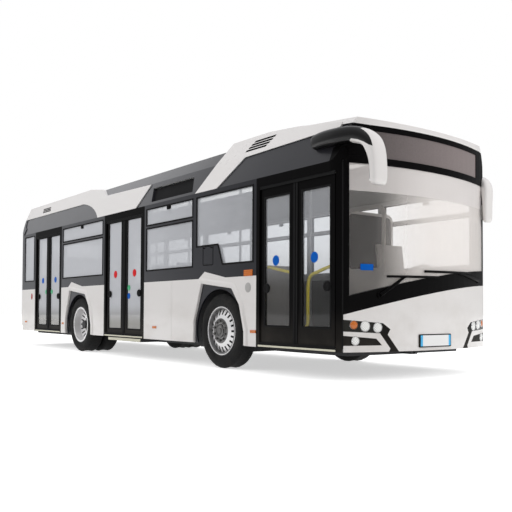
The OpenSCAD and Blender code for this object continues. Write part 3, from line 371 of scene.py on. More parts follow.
class Finish:
    """A new material with its Object coordinates ready as the wires x, y and z."""

    def __init__(self, name):
        self.material = bpy.data.materials.new(name)
        self.material.use_nodes = True
        self.tree = self.material.node_tree
        self.tree.nodes.clear()
        self.start = Wire(self.tree, None)
        self.place = self.start.node("ShaderNodeTexCoord", out=3)
        self.x, self.y, self.z = self.split(self.place)

    def split(self, vector):
        """The x, y and z of a vector."""
        return vector.node("ShaderNodeSeparateXYZ", sockets={0: vector}).outputs(0, 1, 2)

    def inner(self):
        """1 on faces that look towards the saloon, by the sign of the normal along the way out, or else 0."""
        out = self.place.node("ShaderNodeVectorMath", {"operation": "MULTIPLY_ADD"},
                              {0: self.place, 1: (0.28, 1.0, 1.0), 2: (0.0, 0.0, -1.7)})
        normal = self.start.node("ShaderNodeNewGeometry", out=1)
        dot = out.node("ShaderNodeVectorMath", {"operation": "DOT_PRODUCT"}, {0: out, 1: normal}, 1)
        return dot.below(-0.05) * (1 - self.y.size().above(SIDE - WALL))

    def wheel(self):
        """1 on the front wheels, then the distance from the nearer axle and its parts along x and z."""
        front = (self.x - BETWEEN_AXLES).above(0.0)
        dx = self.x - (front * (FRONT_AXLE - REAR_AXLE) + REAR_AXLE)
        dz = self.z - AXLE_Z
        return front, (dx * dx + dz * dz) ** 0.5, dx, dz

    def vents(self):
        """1 in the slanting slots of the fairings, which white_paint fills with painted shade, and 0 elsewhere:
        row n starts at x + n lean, and leans by half of that over its own height."""
        edge = 0.001
        rise = (self.z - VENT_Z) / VENT_PITCH
        row = rise.whole()
        part = (rise - row) * VENT_PITCH
        level = part.below(VENT_H + edge) * row.above(-0.5)
        slots = []
        for x0, rows, lean in VENTS:
            along = self.x - x0 - lean * (row + part * (0.5 / VENT_H))
            slots.append(level * along.above(-edge) * along.below(VENT_L + edge) * row.below(rows - 0.5))
        return slots[0].most(slots[1])

    def shade_behind_vents(self):
        """1 on the roof's shoulders behind the fairings' slots, which get painted shade, and 0 elsewhere."""
        level = self.z.above(VENT_Z - 0.03) * self.z.below(VENT_Z + 0.16) * self.y.size().above(0.935)
        front, rear = (self.x.above(x0 - 0.15) * self.x.below(x0 + VENT_L + 0.2) for x0, _, _ in VENTS)
        return level * front.most(rear)

    def noise(self, scale, detail=3.0, stretch=(1, 1, 1), rough=0.55):
        """Noise of the given scale, stretched along the axes."""
        at = self.place.node("ShaderNodeMapping", sockets={"Vector": self.place, "Scale": stretch})
        return at.node("ShaderNodeTexNoise",
                       sockets={"Vector": at, "Scale": scale, "Detail": detail, "Roughness": rough})

    def bump(self, height, strength, distance):
        """A normal raised and sunk by a height."""
        sockets = {"Height": height, "Strength": strength, "Distance": distance}
        return height.node("ShaderNodeBump", sockets=sockets)

    def surface(self, **sockets):
        """A Principled shader, its sockets given in small letters with underscores."""
        names = {k.replace("_", " ").title().replace("Ior ", "IOR "): v for k, v in sockets.items()}
        return self.start.node("ShaderNodeBsdfPrincipled", sockets=names)

    def done(self, shader):
        """Puts the shader on the material's output and gives the material."""
        self.start.node("ShaderNodeOutputMaterial", sockets={"Surface": shader})
        return self.material


def white_paint(c):
    """Warm white coat: faint orange peel, cloudy tone, painted shade in the vent slots, and a film of road dust
    that thickens towards the skirts."""
    f = Finish("white_paint")
    cloud = f.noise(0.9, 4.0)
    dust = (1 - f.z.soft(0.25, 1.25)) * f.noise(2.2, 5.0, (0.6, 1, 1.6)).soft(0.35, 0.75)
    base = (cloud * 0.5).mix(rgba(c.body_white), tone(c.body_white, 0.95))
    base = (dust * 0.34).mix(base, rgba(c.road_dust))
    base = f.inner().mix(base, rgba(c.lining))
    # Painted shade: the vent slots in near black
    base = f.vents().mix(base, rgba(c.trim_black))
    peel = f.bump(f.noise(260.0, 2.0), 0.025, 0.0006)
    return f.done(f.surface(base_color=base, roughness=0.24 + 0.1 * cloud + 0.22 * dust, normal=peel,
                            coat_weight=0.55, coat_roughness=0.06))


def grey_paint(c):
    """Anthracite coat: fine metallic flake and an uneven gloss. It is duller towards the front, and painted
    shade makes it darker towards the front and near black in the sunk panel and behind the vents."""
    f = Finish("grey_paint")
    flake = f.noise(900.0, 1.0).soft(0.52, 0.7)
    cloud = f.noise(1.4, 4.0)
    base = (flake * 0.3).mix(rgba(c.band_grey), tone(c.band_grey, 1.9))
    base = (cloud * 0.35).mix(base, tone(c.band_grey, 0.75))
    # Painted shade: near black in the right-hand sunk panel and on the roof behind the vent slots
    fore, rise = (f.x - SUNK_X) / SUNK_L, (f.z - SUNK_Z) / SUNK_H
    tail_end = (fore - SUNK_SLANT * (1 - rise)).above(0.0)
    front_end = (1 - SUNK_SLANT * rise - fore).above(0.0)
    sunk = tail_end * front_end * rise.above(0.0) * rise.below(1.0)
    dark = (sunk * f.y.below(0.0)).most(f.shade_behind_vents())
    base = dark.mix(base, tone(c.band_grey, 0.1))
    # Painted shade: the band is darker towards the front
    ahead = f.x.soft(-1.0, 4.0)
    base = (ahead * 0.4).mix(base, tone(c.band_grey, 0.1))
    base = f.inner().mix(base, (cloud * 0.4).mix(rgba(c.lining), tone(c.lining, 0.9)))
    peel = f.bump(f.noise(240.0, 2.0), 0.012, 0.0006)
    coat = (1 - dark) * (1 - 0.92 * ahead)
    return f.done(f.surface(base_color=base, roughness=0.26 + 0.1 * cloud + 0.5 * dark, normal=peel,
                            specular_ior_level=0.25, coat_weight=coat, coat_roughness=0.05))


def rear_paint(c):
    """The tail: white below the belt and anthracite above it, with dust low down."""
    f = Finish("rear_paint")
    cloud = f.noise(1.1, 4.0)
    upper = f.z.soft(BELT - 0.001, BELT + 0.001)
    dust = (1 - f.z.soft(0.4, 1.3)) * cloud.soft(0.35, 0.7)
    base = upper.mix((cloud * 0.5).mix(rgba(c.body_white), tone(c.body_white, 0.95)),
                     (cloud * 0.4).mix(rgba(c.band_grey), tone(c.band_grey, 0.8)))
    base = (dust * 0.45).mix(base, rgba(c.road_dust))
    base = f.inner().mix(base, rgba(c.lining))
    peel = f.bump(f.noise(250.0, 2.0), 0.02, 0.0006)
    return f.done(f.surface(base_color=base, roughness=0.26 + 0.12 * cloud + 0.2 * dust, normal=peel,
                            coat_weight=0.5, coat_roughness=0.06))


def black_trim(c):
    """Gloss black door frames and pillars: fine wipe marks in the gloss and grey dust near the ground."""
    f = Finish("black_trim")
    wipe = f.noise(30.0, 4.0, (0.3, 1, 3.0))
    dust = (1 - f.z.soft(0.3, 0.8)) * f.noise(3.0, 4.0)
    base = (dust * 0.3).mix(rgba(c.trim_black), tone(c.road_dust, 0.35))
    return f.done(f.surface(base_color=base, roughness=0.3 + 0.12 * wipe + 0.25 * dust,
                            specular_ior_level=0.04, normal=f.bump(wipe, 0.004, 0.001)))


# The right mirror: first x, foot, length and height; start and length of its front part in shares of its
# length; and the edge of the black on it as (share along its front part, share of its height) pairs
MIRROR_X, MIRROR_Z, MIRROR_L, MIRROR_H = FRONT + 0.235 - 0.955, 1.99, 0.955, 0.7
MIRROR_FORE, MIRROR_SPAN = 0.6, 0.45
MIRROR_EDGE = ((0.009, 0.591), (0.104, 0.646), (0.298, 0.698), (0.48, 0.665), (0.642, 0.617), (0.776, 0.562),
               (1.0, 0.5))


def mirror_shell(c):
    """Mirror housings: warm white, with the upper part of the right one's outer side and top in black."""
    f = Finish("mirror_shell")
    cloud = f.noise(3.0, 4.0)
    fore, rise = (f.x - MIRROR_X) / MIRROR_L, (f.z - MIRROR_Z) / MIRROR_H
    stops = [(a, (b, b, b, 1.0)) for a, b in MIRROR_EDGE]
    edge = fore.node("ShaderNodeValToRGB", {"stops": stops}, {0: (fore - MIRROR_FORE) / MIRROR_SPAN})
    _, across, up = f.split(f.start.node("ShaderNodeNewGeometry", out=1))
    side = across.below(-0.5) * (rise - edge).soft(-0.006, 0.006)
    arm = fore.below(0.7).most(up.above(0.6) * fore.below(0.84))
    dark = side.most(arm) * f.y.below(0.0)
    base = dark.mix((cloud * 0.5).mix(rgba(c.body_white), tone(c.body_white, 0.95)), rgba(c.trim_black))
    peel = f.bump(f.noise(260.0, 2.0), 0.025, 0.0006)
    return f.done(f.surface(base_color=base, roughness=0.24 + 0.1 * cloud, coat_weight=0.4 * (1 - dark),
                            coat_roughness=0.06, specular_ior_level=0.3, normal=peel))


def rubber(c):
    """Matt black rubber: fine grain, and a chalky bloom in patches."""
    f = Finish("rubber")
    bloom = f.noise(7.0, 5.0)
    base = (bloom.soft(0.45, 0.8) * 0.5).mix(rgba(c.rubber_black), tone(c.rubber_black, 1.9))
    return f.done(f.surface(base_color=base, roughness=0.62 + 0.2 * bloom, specular_ior_level=0.12,
                            normal=f.bump(f.noise(420.0, 2.0), 0.15, 0.0008)))


def tyre_rubber(c):
    """Tyre: tread blocks and sipes cut into the crown by bump, a ribbed sidewall, dust in patches, and painted
    shade in the sipes.
    """
    f = Finish("tyre_rubber")
    _, r, dx, dz = f.wheel()
    turn = dz.math("ARCTAN2", dx)
    crown = r.soft(TYRE_R - 0.02, TYRE_R - 0.008)
    sipe = (turn * 46.0 + f.y.size() * 26.0).sine().soft(0.72, 0.9)
    rib = (r * 190.0).sine().soft(0.75, 0.98) * (1 - crown)
    height = (1 - sipe) * crown + rib * 0.25
    grime = f.noise(9.0, 5.0)
    base = (grime.soft(0.4, 0.8) * 0.3).mix(rgba(c.rubber_black), tone(c.road_dust, 0.12))
    # Painted shade: the sipes darker than the rubber round them
    base = (sipe * crown * 0.7).mix(base, tone(c.rubber_black, 0.4))
    return f.done(f.surface(base_color=base, roughness=0.68 + 0.18 * grime, specular_ior_level=0.25,
                            normal=f.bump(height + 0.08 * f.noise(160.0, 3.0), 0.7, 0.006)))


def wheel_paint(c):
    """Silver wheel lacquer: turned rings in the gloss, brake dust that gathers towards the hub, painted shade
    in the gap round the front wheels' dishes, and dark barrels behind the lip."""
    f = Finish("wheel_paint")
    front, r, _, _ = f.wheel()
    dust = (1 - r.soft(0.08, 0.18)) * f.noise(14.0, 4.0).soft(0.3, 0.7)
    base = (dust * 0.75).mix(rgba(c.wheel_silver), tone(c.road_dust, 0.3))
    # Painted shade in the gap round the front wheels' dishes
    gap = r.soft(0.274, 0.28) * (1 - r.soft(0.299, 0.302)) * 0.8 * front
    base = gap.most(r.above(0.309)).mix(base, tone(c.rubber_black, 3.0))
    rings = (r * 240.0).sine()
    return f.done(f.surface(base_color=base, metallic=0.35 - 0.2 * dust,
                            roughness=0.32 + 0.02 * rings + 0.3 * dust,
                            normal=f.bump(f.noise(300.0, 2.0), 0.03, 0.0006)))


def glass_layer(f, colour, veil, tint):
    """Glass as a clear tinted sheet under its own reflection, with a veil of the given share whose tint is a
    painted reflection.
    """
    clear = f.start.node("ShaderNodeBsdfTransparent", sockets={"Color": colour})
    shine = f.surface(base_color=tint, roughness=0.03, coat_weight=0.5, coat_roughness=0.02)
    return veil.blend(clear, shine)


def window_glass(c):
    """Side glass: a clear tint under a reflection, with faint smears; the right-hand panes hold a painted
    reflection:
    a pale veil of sky that grows towards the tail and darkens near the ground, most of all on the front door."""
    f = Finish("window_glass")
    smear = f.noise(3.0, 5.0, (1.0, 1, 2.4)).soft(0.45, 0.85)
    right = f.y.below(-1.0)
    away = 1 - f.x.soft(-0.6, 4.3)
    near = f.x.soft(3.2, 3.5)
    lift = near * f.z.soft(0.95, 1.55) + (1 - near) * f.z.soft(0.5, 0.85)
    # Painted reflection: pale sky high on the right-hand panes and ground low down, darkest on the front door
    ground = near.mix(rgba(c.ground_veil), tone(c.ground_veil, 0.14))
    tint = lift.mix(ground, rgba(c.sky_veil))
    share = 0.27 - 0.08 * near + 0.45 * away + 0.06 * near * (1 - lift)
    veil = 0.035 + 0.03 * smear + right * share * (0.8 + 0.2 * lift)
    return f.done(glass_layer(f, rgba(c.glass_tint), veil, tint))


def screen_glass(c):
    """Windscreen: clear glass with a warm veil of painted reflection that grows towards the left, a pale sun
    blind behind its upper edge, and the blank sign above it, which a painted reflection makes darker towards
    the right."""
    f = Finish("screen_glass")
    smear = f.noise(2.4, 5.0).soft(0.45, 0.9)
    # Painted reflection: a warm veil of sky that grows towards the left
    veil = 0.03 + 0.03 * smear + 0.52 * f.y.soft(-0.9, 0.1)
    clear = glass_layer(f, rgba(c.screen_tint), veil, rgba(c.screen_veil))
    cells = f.noise(60.0, 2.0)
    cloth = (cells * 0.3).mix(rgba(c.sun_blind), tone(c.sun_blind, 0.9))
    blind = f.surface(base_color=cloth, roughness=0.22, coat_weight=0.6, coat_roughness=0.03)
    # Painted reflection on the sign: lighter towards the left and darker towards the right
    shade = cells * 0.3 + 0.7 * (1 - f.y.soft(-1.2, 0.7))
    sign = f.surface(base_color=shade.mix(tone(c.sign_face, 1.15), tone(c.sign_face, 0.3)), roughness=0.35)
    shaded = f.z.soft(1.995, 2.0) * (0.5 + 0.2 * f.y.soft(-1.0, 0.0))
    return f.done(f.z.above(2.33).blend(shaded.blend(clear, blind), sign))


def plain(name, pick, rough, scale, metallic=0.0, coat=0.0, depth=0.1, vary=0.25, grain=(1, 1, 1), shine=0.5):
    """A moulded or painted finish: a colour with cloudy tone, grain in the gloss and a fine bump."""
    def made(c):
        """Makes the finish with the colours of the bus."""
        f = Finish(name)
        paint = getattr(c, pick)
        cloud = f.noise(6.0, 4.0)
        fine = f.noise(scale, 2.0, grain)
        base = (cloud * vary * 2).mix(tone(paint, 1 + vary * 0.5), tone(paint, 1 - vary))
        return f.done(f.surface(base_color=base, roughness=rough - 0.06 + 0.14 * fine, metallic=metallic,
                                coat_weight=coat, specular_ior_level=shine,
                                normal=f.bump(fine, depth, 0.0012)))
    return made


def lens(name, cells):
    """A moulded lamp lens: a clear coat over coloured plastic with a ribbed optic."""
    def made(c):
        """Makes the lens with the colours of the bus."""
        f = Finish(name)
        paint = getattr(c, name)
        ribs = (f.z * cells).sine() * (f.y * cells).sine()
        base = ribs.soft(-0.5, 0.9).mix(tone(paint, 0.72), tone(paint, 1.12))
        return f.done(f.surface(base_color=base, roughness=0.2 + 0.1 * f.noise(40.0), coat_weight=0.3,
                                coat_roughness=0.03, normal=f.bump(ribs, 0.2, 0.0015)))
    return made


def lamp_panel(c):
    """The dark lens of the headlamp group, with pale fog lamps below it."""
    f = Finish("lamp_panel")
    fog = 1 - f.z.soft(0.478, 0.482)
    ribs = (f.z * 420.0).sine().soft(-0.4, 0.9)
    base = fog.mix(ribs.mix(rgba(c.lamp_dark), tone(c.lamp_dark, 1.7)),
                   ribs.mix(rgba(c.lamp_pale), tone(c.lamp_pale, 1.2)))
    return f.done(f.surface(base_color=base, roughness=0.2 + 0.06 * f.noise(30.0), specular_ior_level=0.2,
                            normal=f.bump(ribs, 0.12, 0.001)))


def floor_sheet(c):
    """Anti-slip floor sheet: mineral speckle and worn tone in patches."""
    f = Finish("floor_sheet")
    speck = f.noise(420.0, 1.0).soft(0.55, 0.68)
    wear = f.noise(2.0, 4.0)
    base = (speck * 0.6).mix(rgba(c.floor_grey), tone(c.floor_grey, 1.9))
    base = (wear * 0.4).mix(base, tone(c.floor_grey, 0.7))
    return f.done(f.surface(base_color=base, roughness=0.66 + 0.2 * wear, normal=f.bump(speck, 0.2, 0.001)))


def seat_cloth(c):
    """Upholstery: a plain woven ground with small lighter flecks set at even steps."""
    f = Finish("seat_cloth")
    weave = (f.y * 900.0).sine() * (f.z * 900.0 + f.x * 900.0).sine()
    fleck = ((f.y * 110.0).sine() * ((f.z + f.x) * 80.0).sine()).soft(0.72, 0.85)
    base = (fleck * 0.6).mix(rgba(c.seat_cloth), tone(c.seat_cloth, 3.2))
    base = (f.noise(8.0, 3.0) * 0.4).mix(base, tone(c.seat_cloth, 0.7))
    return f.done(f.surface(base_color=base, roughness=0.85 + 0.08 * weave, sheen_weight=0.25,
                            normal=f.bump(weave, 0.3, 0.0012)))


def ceiling_light(c):
    """Diffuser of a saloon lamp: an even pale glow with faint stripes."""
    f = Finish("ceiling_light")
    stripes = (f.x * 130.0).sine().soft(0.4, 0.95)
    glow = stripes.mix(tone(c.saloon_light, 0.92), rgba(c.saloon_light))
    return f.done(f.surface(base_color=glow, roughness=0.4, emission_color=glow,
                            emission_strength=c.light_strength))


# Plain finishes: colour, roughness, scale of the grain, and what else differs from the usual
PLAIN = {
    "frame_steel": ("frame_black", 0.62, 90.0, {"metallic": 0.2, "depth": 0.2}),
    "pack_paint": ("pack_grey", 0.5, 60.0, {"metallic": 0.2}),
    "bright_steel": ("bright_steel", 0.24, 300.0, {"metallic": 1.0, "grain": (1, 1, 0.05), "depth": 0.05}),
    "pale_plastic": ("cab_pale", 0.52, 240.0, {"depth": 0.15, "vary": 0.12}),
    "seat_shell": ("seat_shell", 0.42, 260.0, {"depth": 0.12, "vary": 0.15}),
    "rail_paint": ("rail_white", 0.34, 200.0, {"coat": 0.2, "depth": 0.04, "vary": 0.08}),
    "yellow_rail": ("rail_yellow", 0.36, 200.0, {"coat": 0.3, "depth": 0.05, "vary": 0.12}),
    "sill_strip": ("sill_pale", 0.45, 180.0, {"metallic": 0.3, "depth": 0.2, "vary": 0.2}),
    "blue_disc": ("sign_blue", 0.4, 90.0, {"vary": 0.1, "shine": 0.08}),
    "red_disc": ("sign_red", 0.3, 90.0, {"vary": 0.1, "shine": 0.08}),
    "green_button": ("button_green", 0.3, 90.0, {"coat": 0.3, "vary": 0.1}),
    "plate_white": ("plate_white", 0.4, 200.0, {"vary": 0.05}),
    "plate_blue": ("plate_blue", 0.4, 200.0, {"vary": 0.08}),
    "cab_screen": ("cab_screen", 0.5, 300.0, {"depth": 0.3, "vary": 0.15}),
    "gun_metal": ("nut_grey", 0.34, 200.0, {"metallic": 0.9, "depth": 0.05, "vary": 0.2}),
    "sensor_grey": ("sensor_grey", 0.5, 200.0, {"vary": 0.1}),
}
# Lamp lenses and how close their ribs are
LENSES = {"lamp_red": 300.0, "lamp_amber": 260.0, "lamp_white": 240.0}

FINISHES = {made.__name__: made for made in (
    white_paint, grey_paint, rear_paint, black_trim, rubber, mirror_shell, tyre_rubber, wheel_paint,
    window_glass, screen_glass, lamp_panel, floor_sheet, seat_cloth, ceiling_light)}
FINISHES.update({name: plain(name, *row, **more) for name, (*row, more) in PLAIN.items()})
FINISHES.update({name: lens(name, cells) for name, cells in LENSES.items()})

# The finish of each solid, by its whole name or by a part of it
NODE_FINISH = {
    "underframe": "frame_steel", "floor": "floor_sheet", "skirts": "white_paint", "arch_panels": "grey_paint",
    "side_band_right": "grey_paint", "side_band_left": "grey_paint", "door_portals": "black_trim",
    "door_drives": "pale_plastic", "roof": "grey_paint", "front_fairing": "white_paint",
    "rear_fairing": "white_paint", "roof_packs": "pack_paint", "front_mask": "white_paint",
    "front_surround": "black_trim", "rear_wall": "rear_paint", "rear_flap": "rear_paint",
    "charge_flap": "grey_paint", "windscreen": "screen_glass", "windows": "window_glass",
    "front_lamps": "lamp_panel", "rear_lamps": "lamp_red", "side_markers": "lamp_amber",
    "mirrors": "mirror_shell", "mirror_arms": "black_trim", "wipers": "black_trim", "rear_pack": "pack_paint",
    "front_axle": "frame_steel", "rear_axle": "frame_steel", "seats": "seat_shell",
    "grab_rails": "rail_paint", "driver_cab": "pale_plastic",
}
PART_FINISH = {
    "rim_": "wheel_paint", "tyre_": "tyre_rubber", "knuckle": "frame_steel", "_pane_": "window_glass",
    "_leaf_": "black_trim", "_post_": "bright_steel",
}
MADE = {}


def finish(name):
    """The finish of that name, made the first time it is asked for."""
    if name not in MADE:
        MADE[name] = FINISHES[name](bpy.context.scene.bus_colours)
    return MADE[name]


def node_finish(node):
    """The name of a solid's finish; an error where it has none."""
    if node in NODE_FINISH:
        return NODE_FINISH[node]
    for part, name in PART_FINISH.items():
        if part in node:
            return name
    raise KeyError(node)


# Settings


def colour(name, words, default):
    """A colour that can be set."""
    return bpy.props.FloatVectorProperty(name=name, description=words, default=default, size=3, min=0, max=1,
                                         subtype="COLOR")


def length(name, words, default):
    """A length that can be set, in metres."""
    return bpy.props.FloatProperty(name=name, description=words, default=default, min=0, unit="LENGTH",
                                   subtype="DISTANCE")


class BusColours(bpy.types.PropertyGroup):
    """Colours of the bus."""
    body_white: colour("Body white", "Warm white of skirts, mask and fairings", (0.74, 0.715, 0.695))
    band_grey: colour("Band grey", "Anthracite of the window band and coves", (0.02, 0.0205, 0.0265))
    trim_black: colour("Trim black", "Door frames, pillars and mirror arms", (0.0022, 0.002, 0.0021))
    rubber_black: colour("Rubber black", "Tyres and seals", (0.006, 0.006, 0.0062))
    lining: colour("Saloon lining", "Inner faces of walls and ceiling", (0.6, 0.6, 0.59))
    road_dust: colour("Road dust", "Film of dust on the lower panels", (0.42, 0.38, 0.33))
    glass_tint: colour("Side glass", "Tint of the side windows", (0.965, 0.972, 0.98))
    screen_tint: colour("Windscreen", "Tint of the windscreen", (0.99, 0.98, 0.972))
    sky_veil: colour("Sky veil", "Sky in the side glass", (0.66, 0.67, 0.7))
    ground_veil: colour("Ground veil", "Ground in the side glass", (0.36, 0.35, 0.32))
    screen_veil: colour("Screen veil", "Sky in the windscreen", (0.98, 0.93, 0.89))
    sun_blind: colour("Sun blind", "Blind behind the top of the windscreen", (0.74, 0.7, 0.68))
    cab_screen: colour("Cab screen", "Dark screen behind the driver", (0.012, 0.011, 0.0105))
    sign_face: colour("Sign face", "Blank face of the front sign", (0.2, 0.165, 0.16))
    wheel_silver: colour("Wheel silver", "Wheel lacquer", (0.84, 0.83, 0.83))
    nut_grey: colour("Nut grey", "Wheel nuts and hub rings", (0.14, 0.137, 0.135))
    frame_black: colour("Frame black", "Underframe and axles", (0.03, 0.03, 0.032))
    pack_grey: colour("Pack grey", "Battery housings", (0.07, 0.073, 0.08))
    bright_steel: colour("Bright steel", "Door posts and lamp rings", (0.6, 0.6, 0.6))
    cab_pale: colour("Cab plastic", "Dashboard and screens", (0.5, 0.48, 0.46))
    seat_shell: colour("Seat shell", "Moulded seat shells", (0.22, 0.23, 0.26))
    seat_cloth: colour("Seat cloth", "Seat upholstery", (0.045, 0.06, 0.1))
    rail_white: colour("Rail white", "Grab rails", (0.68, 0.68, 0.67))
    rail_yellow: colour("Rail yellow", "Handrails on the front door", (1.0, 0.76, 0.03))
    floor_grey: colour("Floor grey", "Floor sheet", (0.16, 0.16, 0.165))
    sill_pale: colour("Sill strip", "Pale door sills", (0.62, 0.6, 0.48))
    sign_blue: colour("Blue disc", "Blank blue discs on the doors", (0.001, 0.09, 0.42))
    sign_red: colour("Red disc", "Blank red discs on the middle door", (0.6, 0.012, 0.015))
    button_green: colour("Green button", "Door buttons", (0.02, 0.36, 0.14))
    plate_white: colour("Plate white", "Blank number plate", (0.8, 0.8, 0.79))
    plate_blue: colour("Plate blue", "Ends of the blank number plate", (0.05, 0.42, 0.75))
    sensor_grey: colour("Sensor grey", "Cover on the front arch", (0.38, 0.37, 0.36))
    lamp_red: colour("Red lens", "Rear lamps", (0.42, 0.01, 0.012))
    lamp_amber: colour("Amber lens", "Side markers and indicators", (0.62, 0.15, 0.006))
    lamp_white: colour("Clear lens", "Head and fog lamps", (0.93, 0.93, 0.88))
    lamp_dark: colour("Lamp ground", "Dark ground of the headlamp group", (0.008, 0.008, 0.006))
    lamp_pale: colour("Fog lens", "Fog lamps", (0.55, 0.55, 0.44))
    saloon_light: colour("Saloon light", "Ceiling lamps", (0.95, 0.95, 0.93))
    light_strength: bpy.props.FloatProperty(name="Light strength", description="Glow of the ceiling lamps",
                                            default=1.0, min=0)


class BusSizes(bpy.types.PropertyGroup):
    """Sizes of the trim, in metres."""
    gasket: length("Gasket", "Width of the rubber round a window", 0.022)
    seal: length("Door seal", "Width of the rubber where two leaves meet", 0.032)
    groove: length("Tread groove", "Depth of the tread grooves", 0.011)
    nut: length("Wheel nut", "Radius of a wheel nut", 0.017)
    nut_circle: length("Nut circle", "Radius of the ring of wheel nuts", 0.125)
    lamp: length("Headlamp", "Radius of a round headlamp", 0.052)
    disc: length("Door disc", "Radius of a disc on a door pane", 0.06)
    handrail: length("Handrail", "Radius of a door handrail", 0.019)
    pad: length("Seat pad", "Thickness of a seat pad", 0.05)
    flare: length("Arch lip", "How far the arch lips stand proud", 0.018)


# Operators


class BUS_OT_paint(bpy.types.Operator):
    """Give every solid of the bus its finish"""
    bl_idname = "bus.paint"
    bl_label = "Paint the solids"

    def execute(self, context):
        for name, obj in NODES.items():
            obj.data.materials.clear()
            obj.data.materials.append(finish(node_finish(name)))
        return {"FINISHED"}


# Side panes, as in the solids: half a doorway and the pillar beside it; level and height of the bar below a
# hopper pane; post behind the last pane; count of left-hand windows and the pillar between them; middle and
# half width of the pillar behind the front axle; and the step in the pane ahead of it: rise, and its two ends
# from the axle
DOOR_HALF, DOOR_PILLAR = 0.7, 0.065
BAR_LOW, BAR_H = PANE_TOP - 0.29, 0.045
TAIL_POST = 0.12
LEFT_COUNT, LEFT_PILLAR = 6, 0.09
AXLE_PILLAR, AXLE_PILLAR_HALF = FRONT_AXLE - 0.575, 0.05
STEP_RISE, STEP_TAIL, STEP_FORE = 0.26, -0.015, 0.09


def split_window(a, b):
    """A pane from a to b along x with a hopper pane above it, as two outlines in (x, z)."""
    return [rectangle((a, PANE_LOW), (b, BAR_LOW)), rectangle((a, BAR_LOW + BAR_H), (b, PANE_TOP))]


def pane_outlines():
    """Outlines of the right-hand and left-hand panes in (x, z), each where the solids have a pane."""
    edge = DOOR_HALF + DOOR_PILLAR
    ahead, behind = AXLE_PILLAR + AXLE_PILLAR_HALF, AXLE_PILLAR - AXLE_PILLAR_HALF
    step, front = PANE_LOW + STEP_RISE, DOORS["front"] - edge
    right = [[(ahead, PANE_TOP), (ahead, step), (FRONT_AXLE + STEP_TAIL, step),
              (FRONT_AXLE + STEP_FORE, PANE_LOW), (front, PANE_LOW), (front, PANE_TOP)]]
    right += split_window(DOORS["middle"] + edge, behind)
    right += split_window(DOORS["rear"] + edge, DOORS["middle"] - edge)
    tail, last = REAR + TAIL_R + TAIL_POST, DOORS["rear"] - edge
    right.append(rectangle((tail, PANE_LOW), (last, PANE_TOP)))
    front = float(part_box("side_band_left")[1][0]) - DOOR_PILLAR
    pitch = (front - tail + LEFT_PILLAR) / LEFT_COUNT
    left = []
    for a in tail + pitch * np.arange(LEFT_COUNT):
        left += split_window(a, a + pitch - LEFT_PILLAR)
    return right, left


# Section of a window gasket in widths of it, half width, foot and top of the rear window, and the flap's dark
# ring, which stands in for the shade in the gap round the flap
GASKET = np.array([(-0.55, 0.0), (-0.55, 0.16), (-0.2, 0.3), (0.25, 0.3), (0.45, 0.14), (0.45, 0.0)])
REAR_PANE = (0.85, 1.5, PANE_TOP)
FLAP_GAP = 0.006
FLAP_SHADE_RING = ((0.0, 0.0), (0.0, 0.0025), (0.007, 0.0025), (0.009, 0.0))


class BUS_OT_gaskets(bpy.types.Operator):
    """Rubber gaskets round the side and rear windows, a dark ring of painted shade round the charging flap, and
    hopper pane catches
    """
    bl_idname = "bus.gaskets"
    bl_label = "Window gaskets"

    def execute(self, context):
        section = context.scene.bus_sizes.gasket * GASKET
        right, left = pane_outlines()
        parts = [side_strip(q, section, -1) for q in right] + [side_strip(q, section, 1) for q in left]
        half, foot, top = REAR_PANE
        parts.append(frame_strip(rectangle((-half, foot), (half, top)), section, REAR * X, -Y, Z))
        piece("window_gaskets", join(parts), "body", "rubber")
        (x0, _, z0), (x1, _, z1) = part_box("charge_flap")
        flap = rounded((x0 - FLAP_GAP, z0 - FLAP_GAP), (x1 + FLAP_GAP, z1 + FLAP_GAP), 0.02, 4)
        # A dark ring round the charging flap that stands in for the shade in its gap
        piece("charge_flap_seal", side_strip(flap, FLAP_SHADE_RING, -1), "body", "rubber")
        catches = []
        for q, s in [(q, -1) for q in right[2:5:2]] + [(q, 1) for q in left[1::2]]:
            x = (q[0][0] + q[1][0]) / 2
            at = (x, s * (SIDE - 0.004), PANE_TOP - 0.035)
            catches.append(pillow(at, (0.05, 0.012, 0.03), 6.0, 7, 0.1))
        piece("hopper_catches", join(catches), "body", "black_trim")
        return {"FINISHED"}


# Half the width of a tyre, its radius at the bead, and the distance between the middles of twin tyres
TYRE_HALF = float(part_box("tyre_front_right")[1][1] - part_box("tyre_front_right")[0][1]) / 2
BEAD_R, TWIN_STEP = 0.3005, 0.305


def wheels():
    """End, side and sign of each wheel or pair of wheels, its body, and the middle of its outer tyre."""
    for end in ("front", "rear"):
        for side, s in (("right", -1), ("left", 1)):
            lo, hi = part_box(f"tyre_{end}_{side}")
            y = s * (max(abs(lo[1]), abs(hi[1])) - TYRE_HALF)
            yield end, side, s, f"wheel_{end}_{side}", np.array([(lo[0] + hi[0]) / 2, y, AXLE_Z], float)


class BUS_OT_tyres(bpy.types.Operator):
    """Tyres with shoulder grooves and round sidewalls in place of the plain solids"""
    bl_idname = "bus.tyres"
    bl_label = "Tyres"

    def execute(self, context):
        groove = context.scene.bus_sizes.groove
        # From the bead to the middle of the tread: radius, and share of the half width
        half = np.array([(BEAD_R, 0.7), (BEAD_R + 0.035, 0.9), (BEAD_R + 0.09, 1.0), (TYRE_R - 0.03, 0.9),
                         (TYRE_R - 0.006, 0.74), (TYRE_R, 0.62), (TYRE_R - groove, 0.3)]) * [1, TYRE_HALF]
        profile = np.vstack([half * [1, -1], half[::-1]])
        for end, side, s, body, centre in wheels():
            places = [centre] if end == "front" else [centre, centre - s * TWIN_STEP * Y]
            tyres = join([revolve(profile, 34, place, Y) for place in places])
            obj = piece(f"tyre_dress_{end}_{side}", tyres, body, "tyre_rubber", 50)
            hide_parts(f"tyre_{end}_{side}")
        return {"FINISHED"}


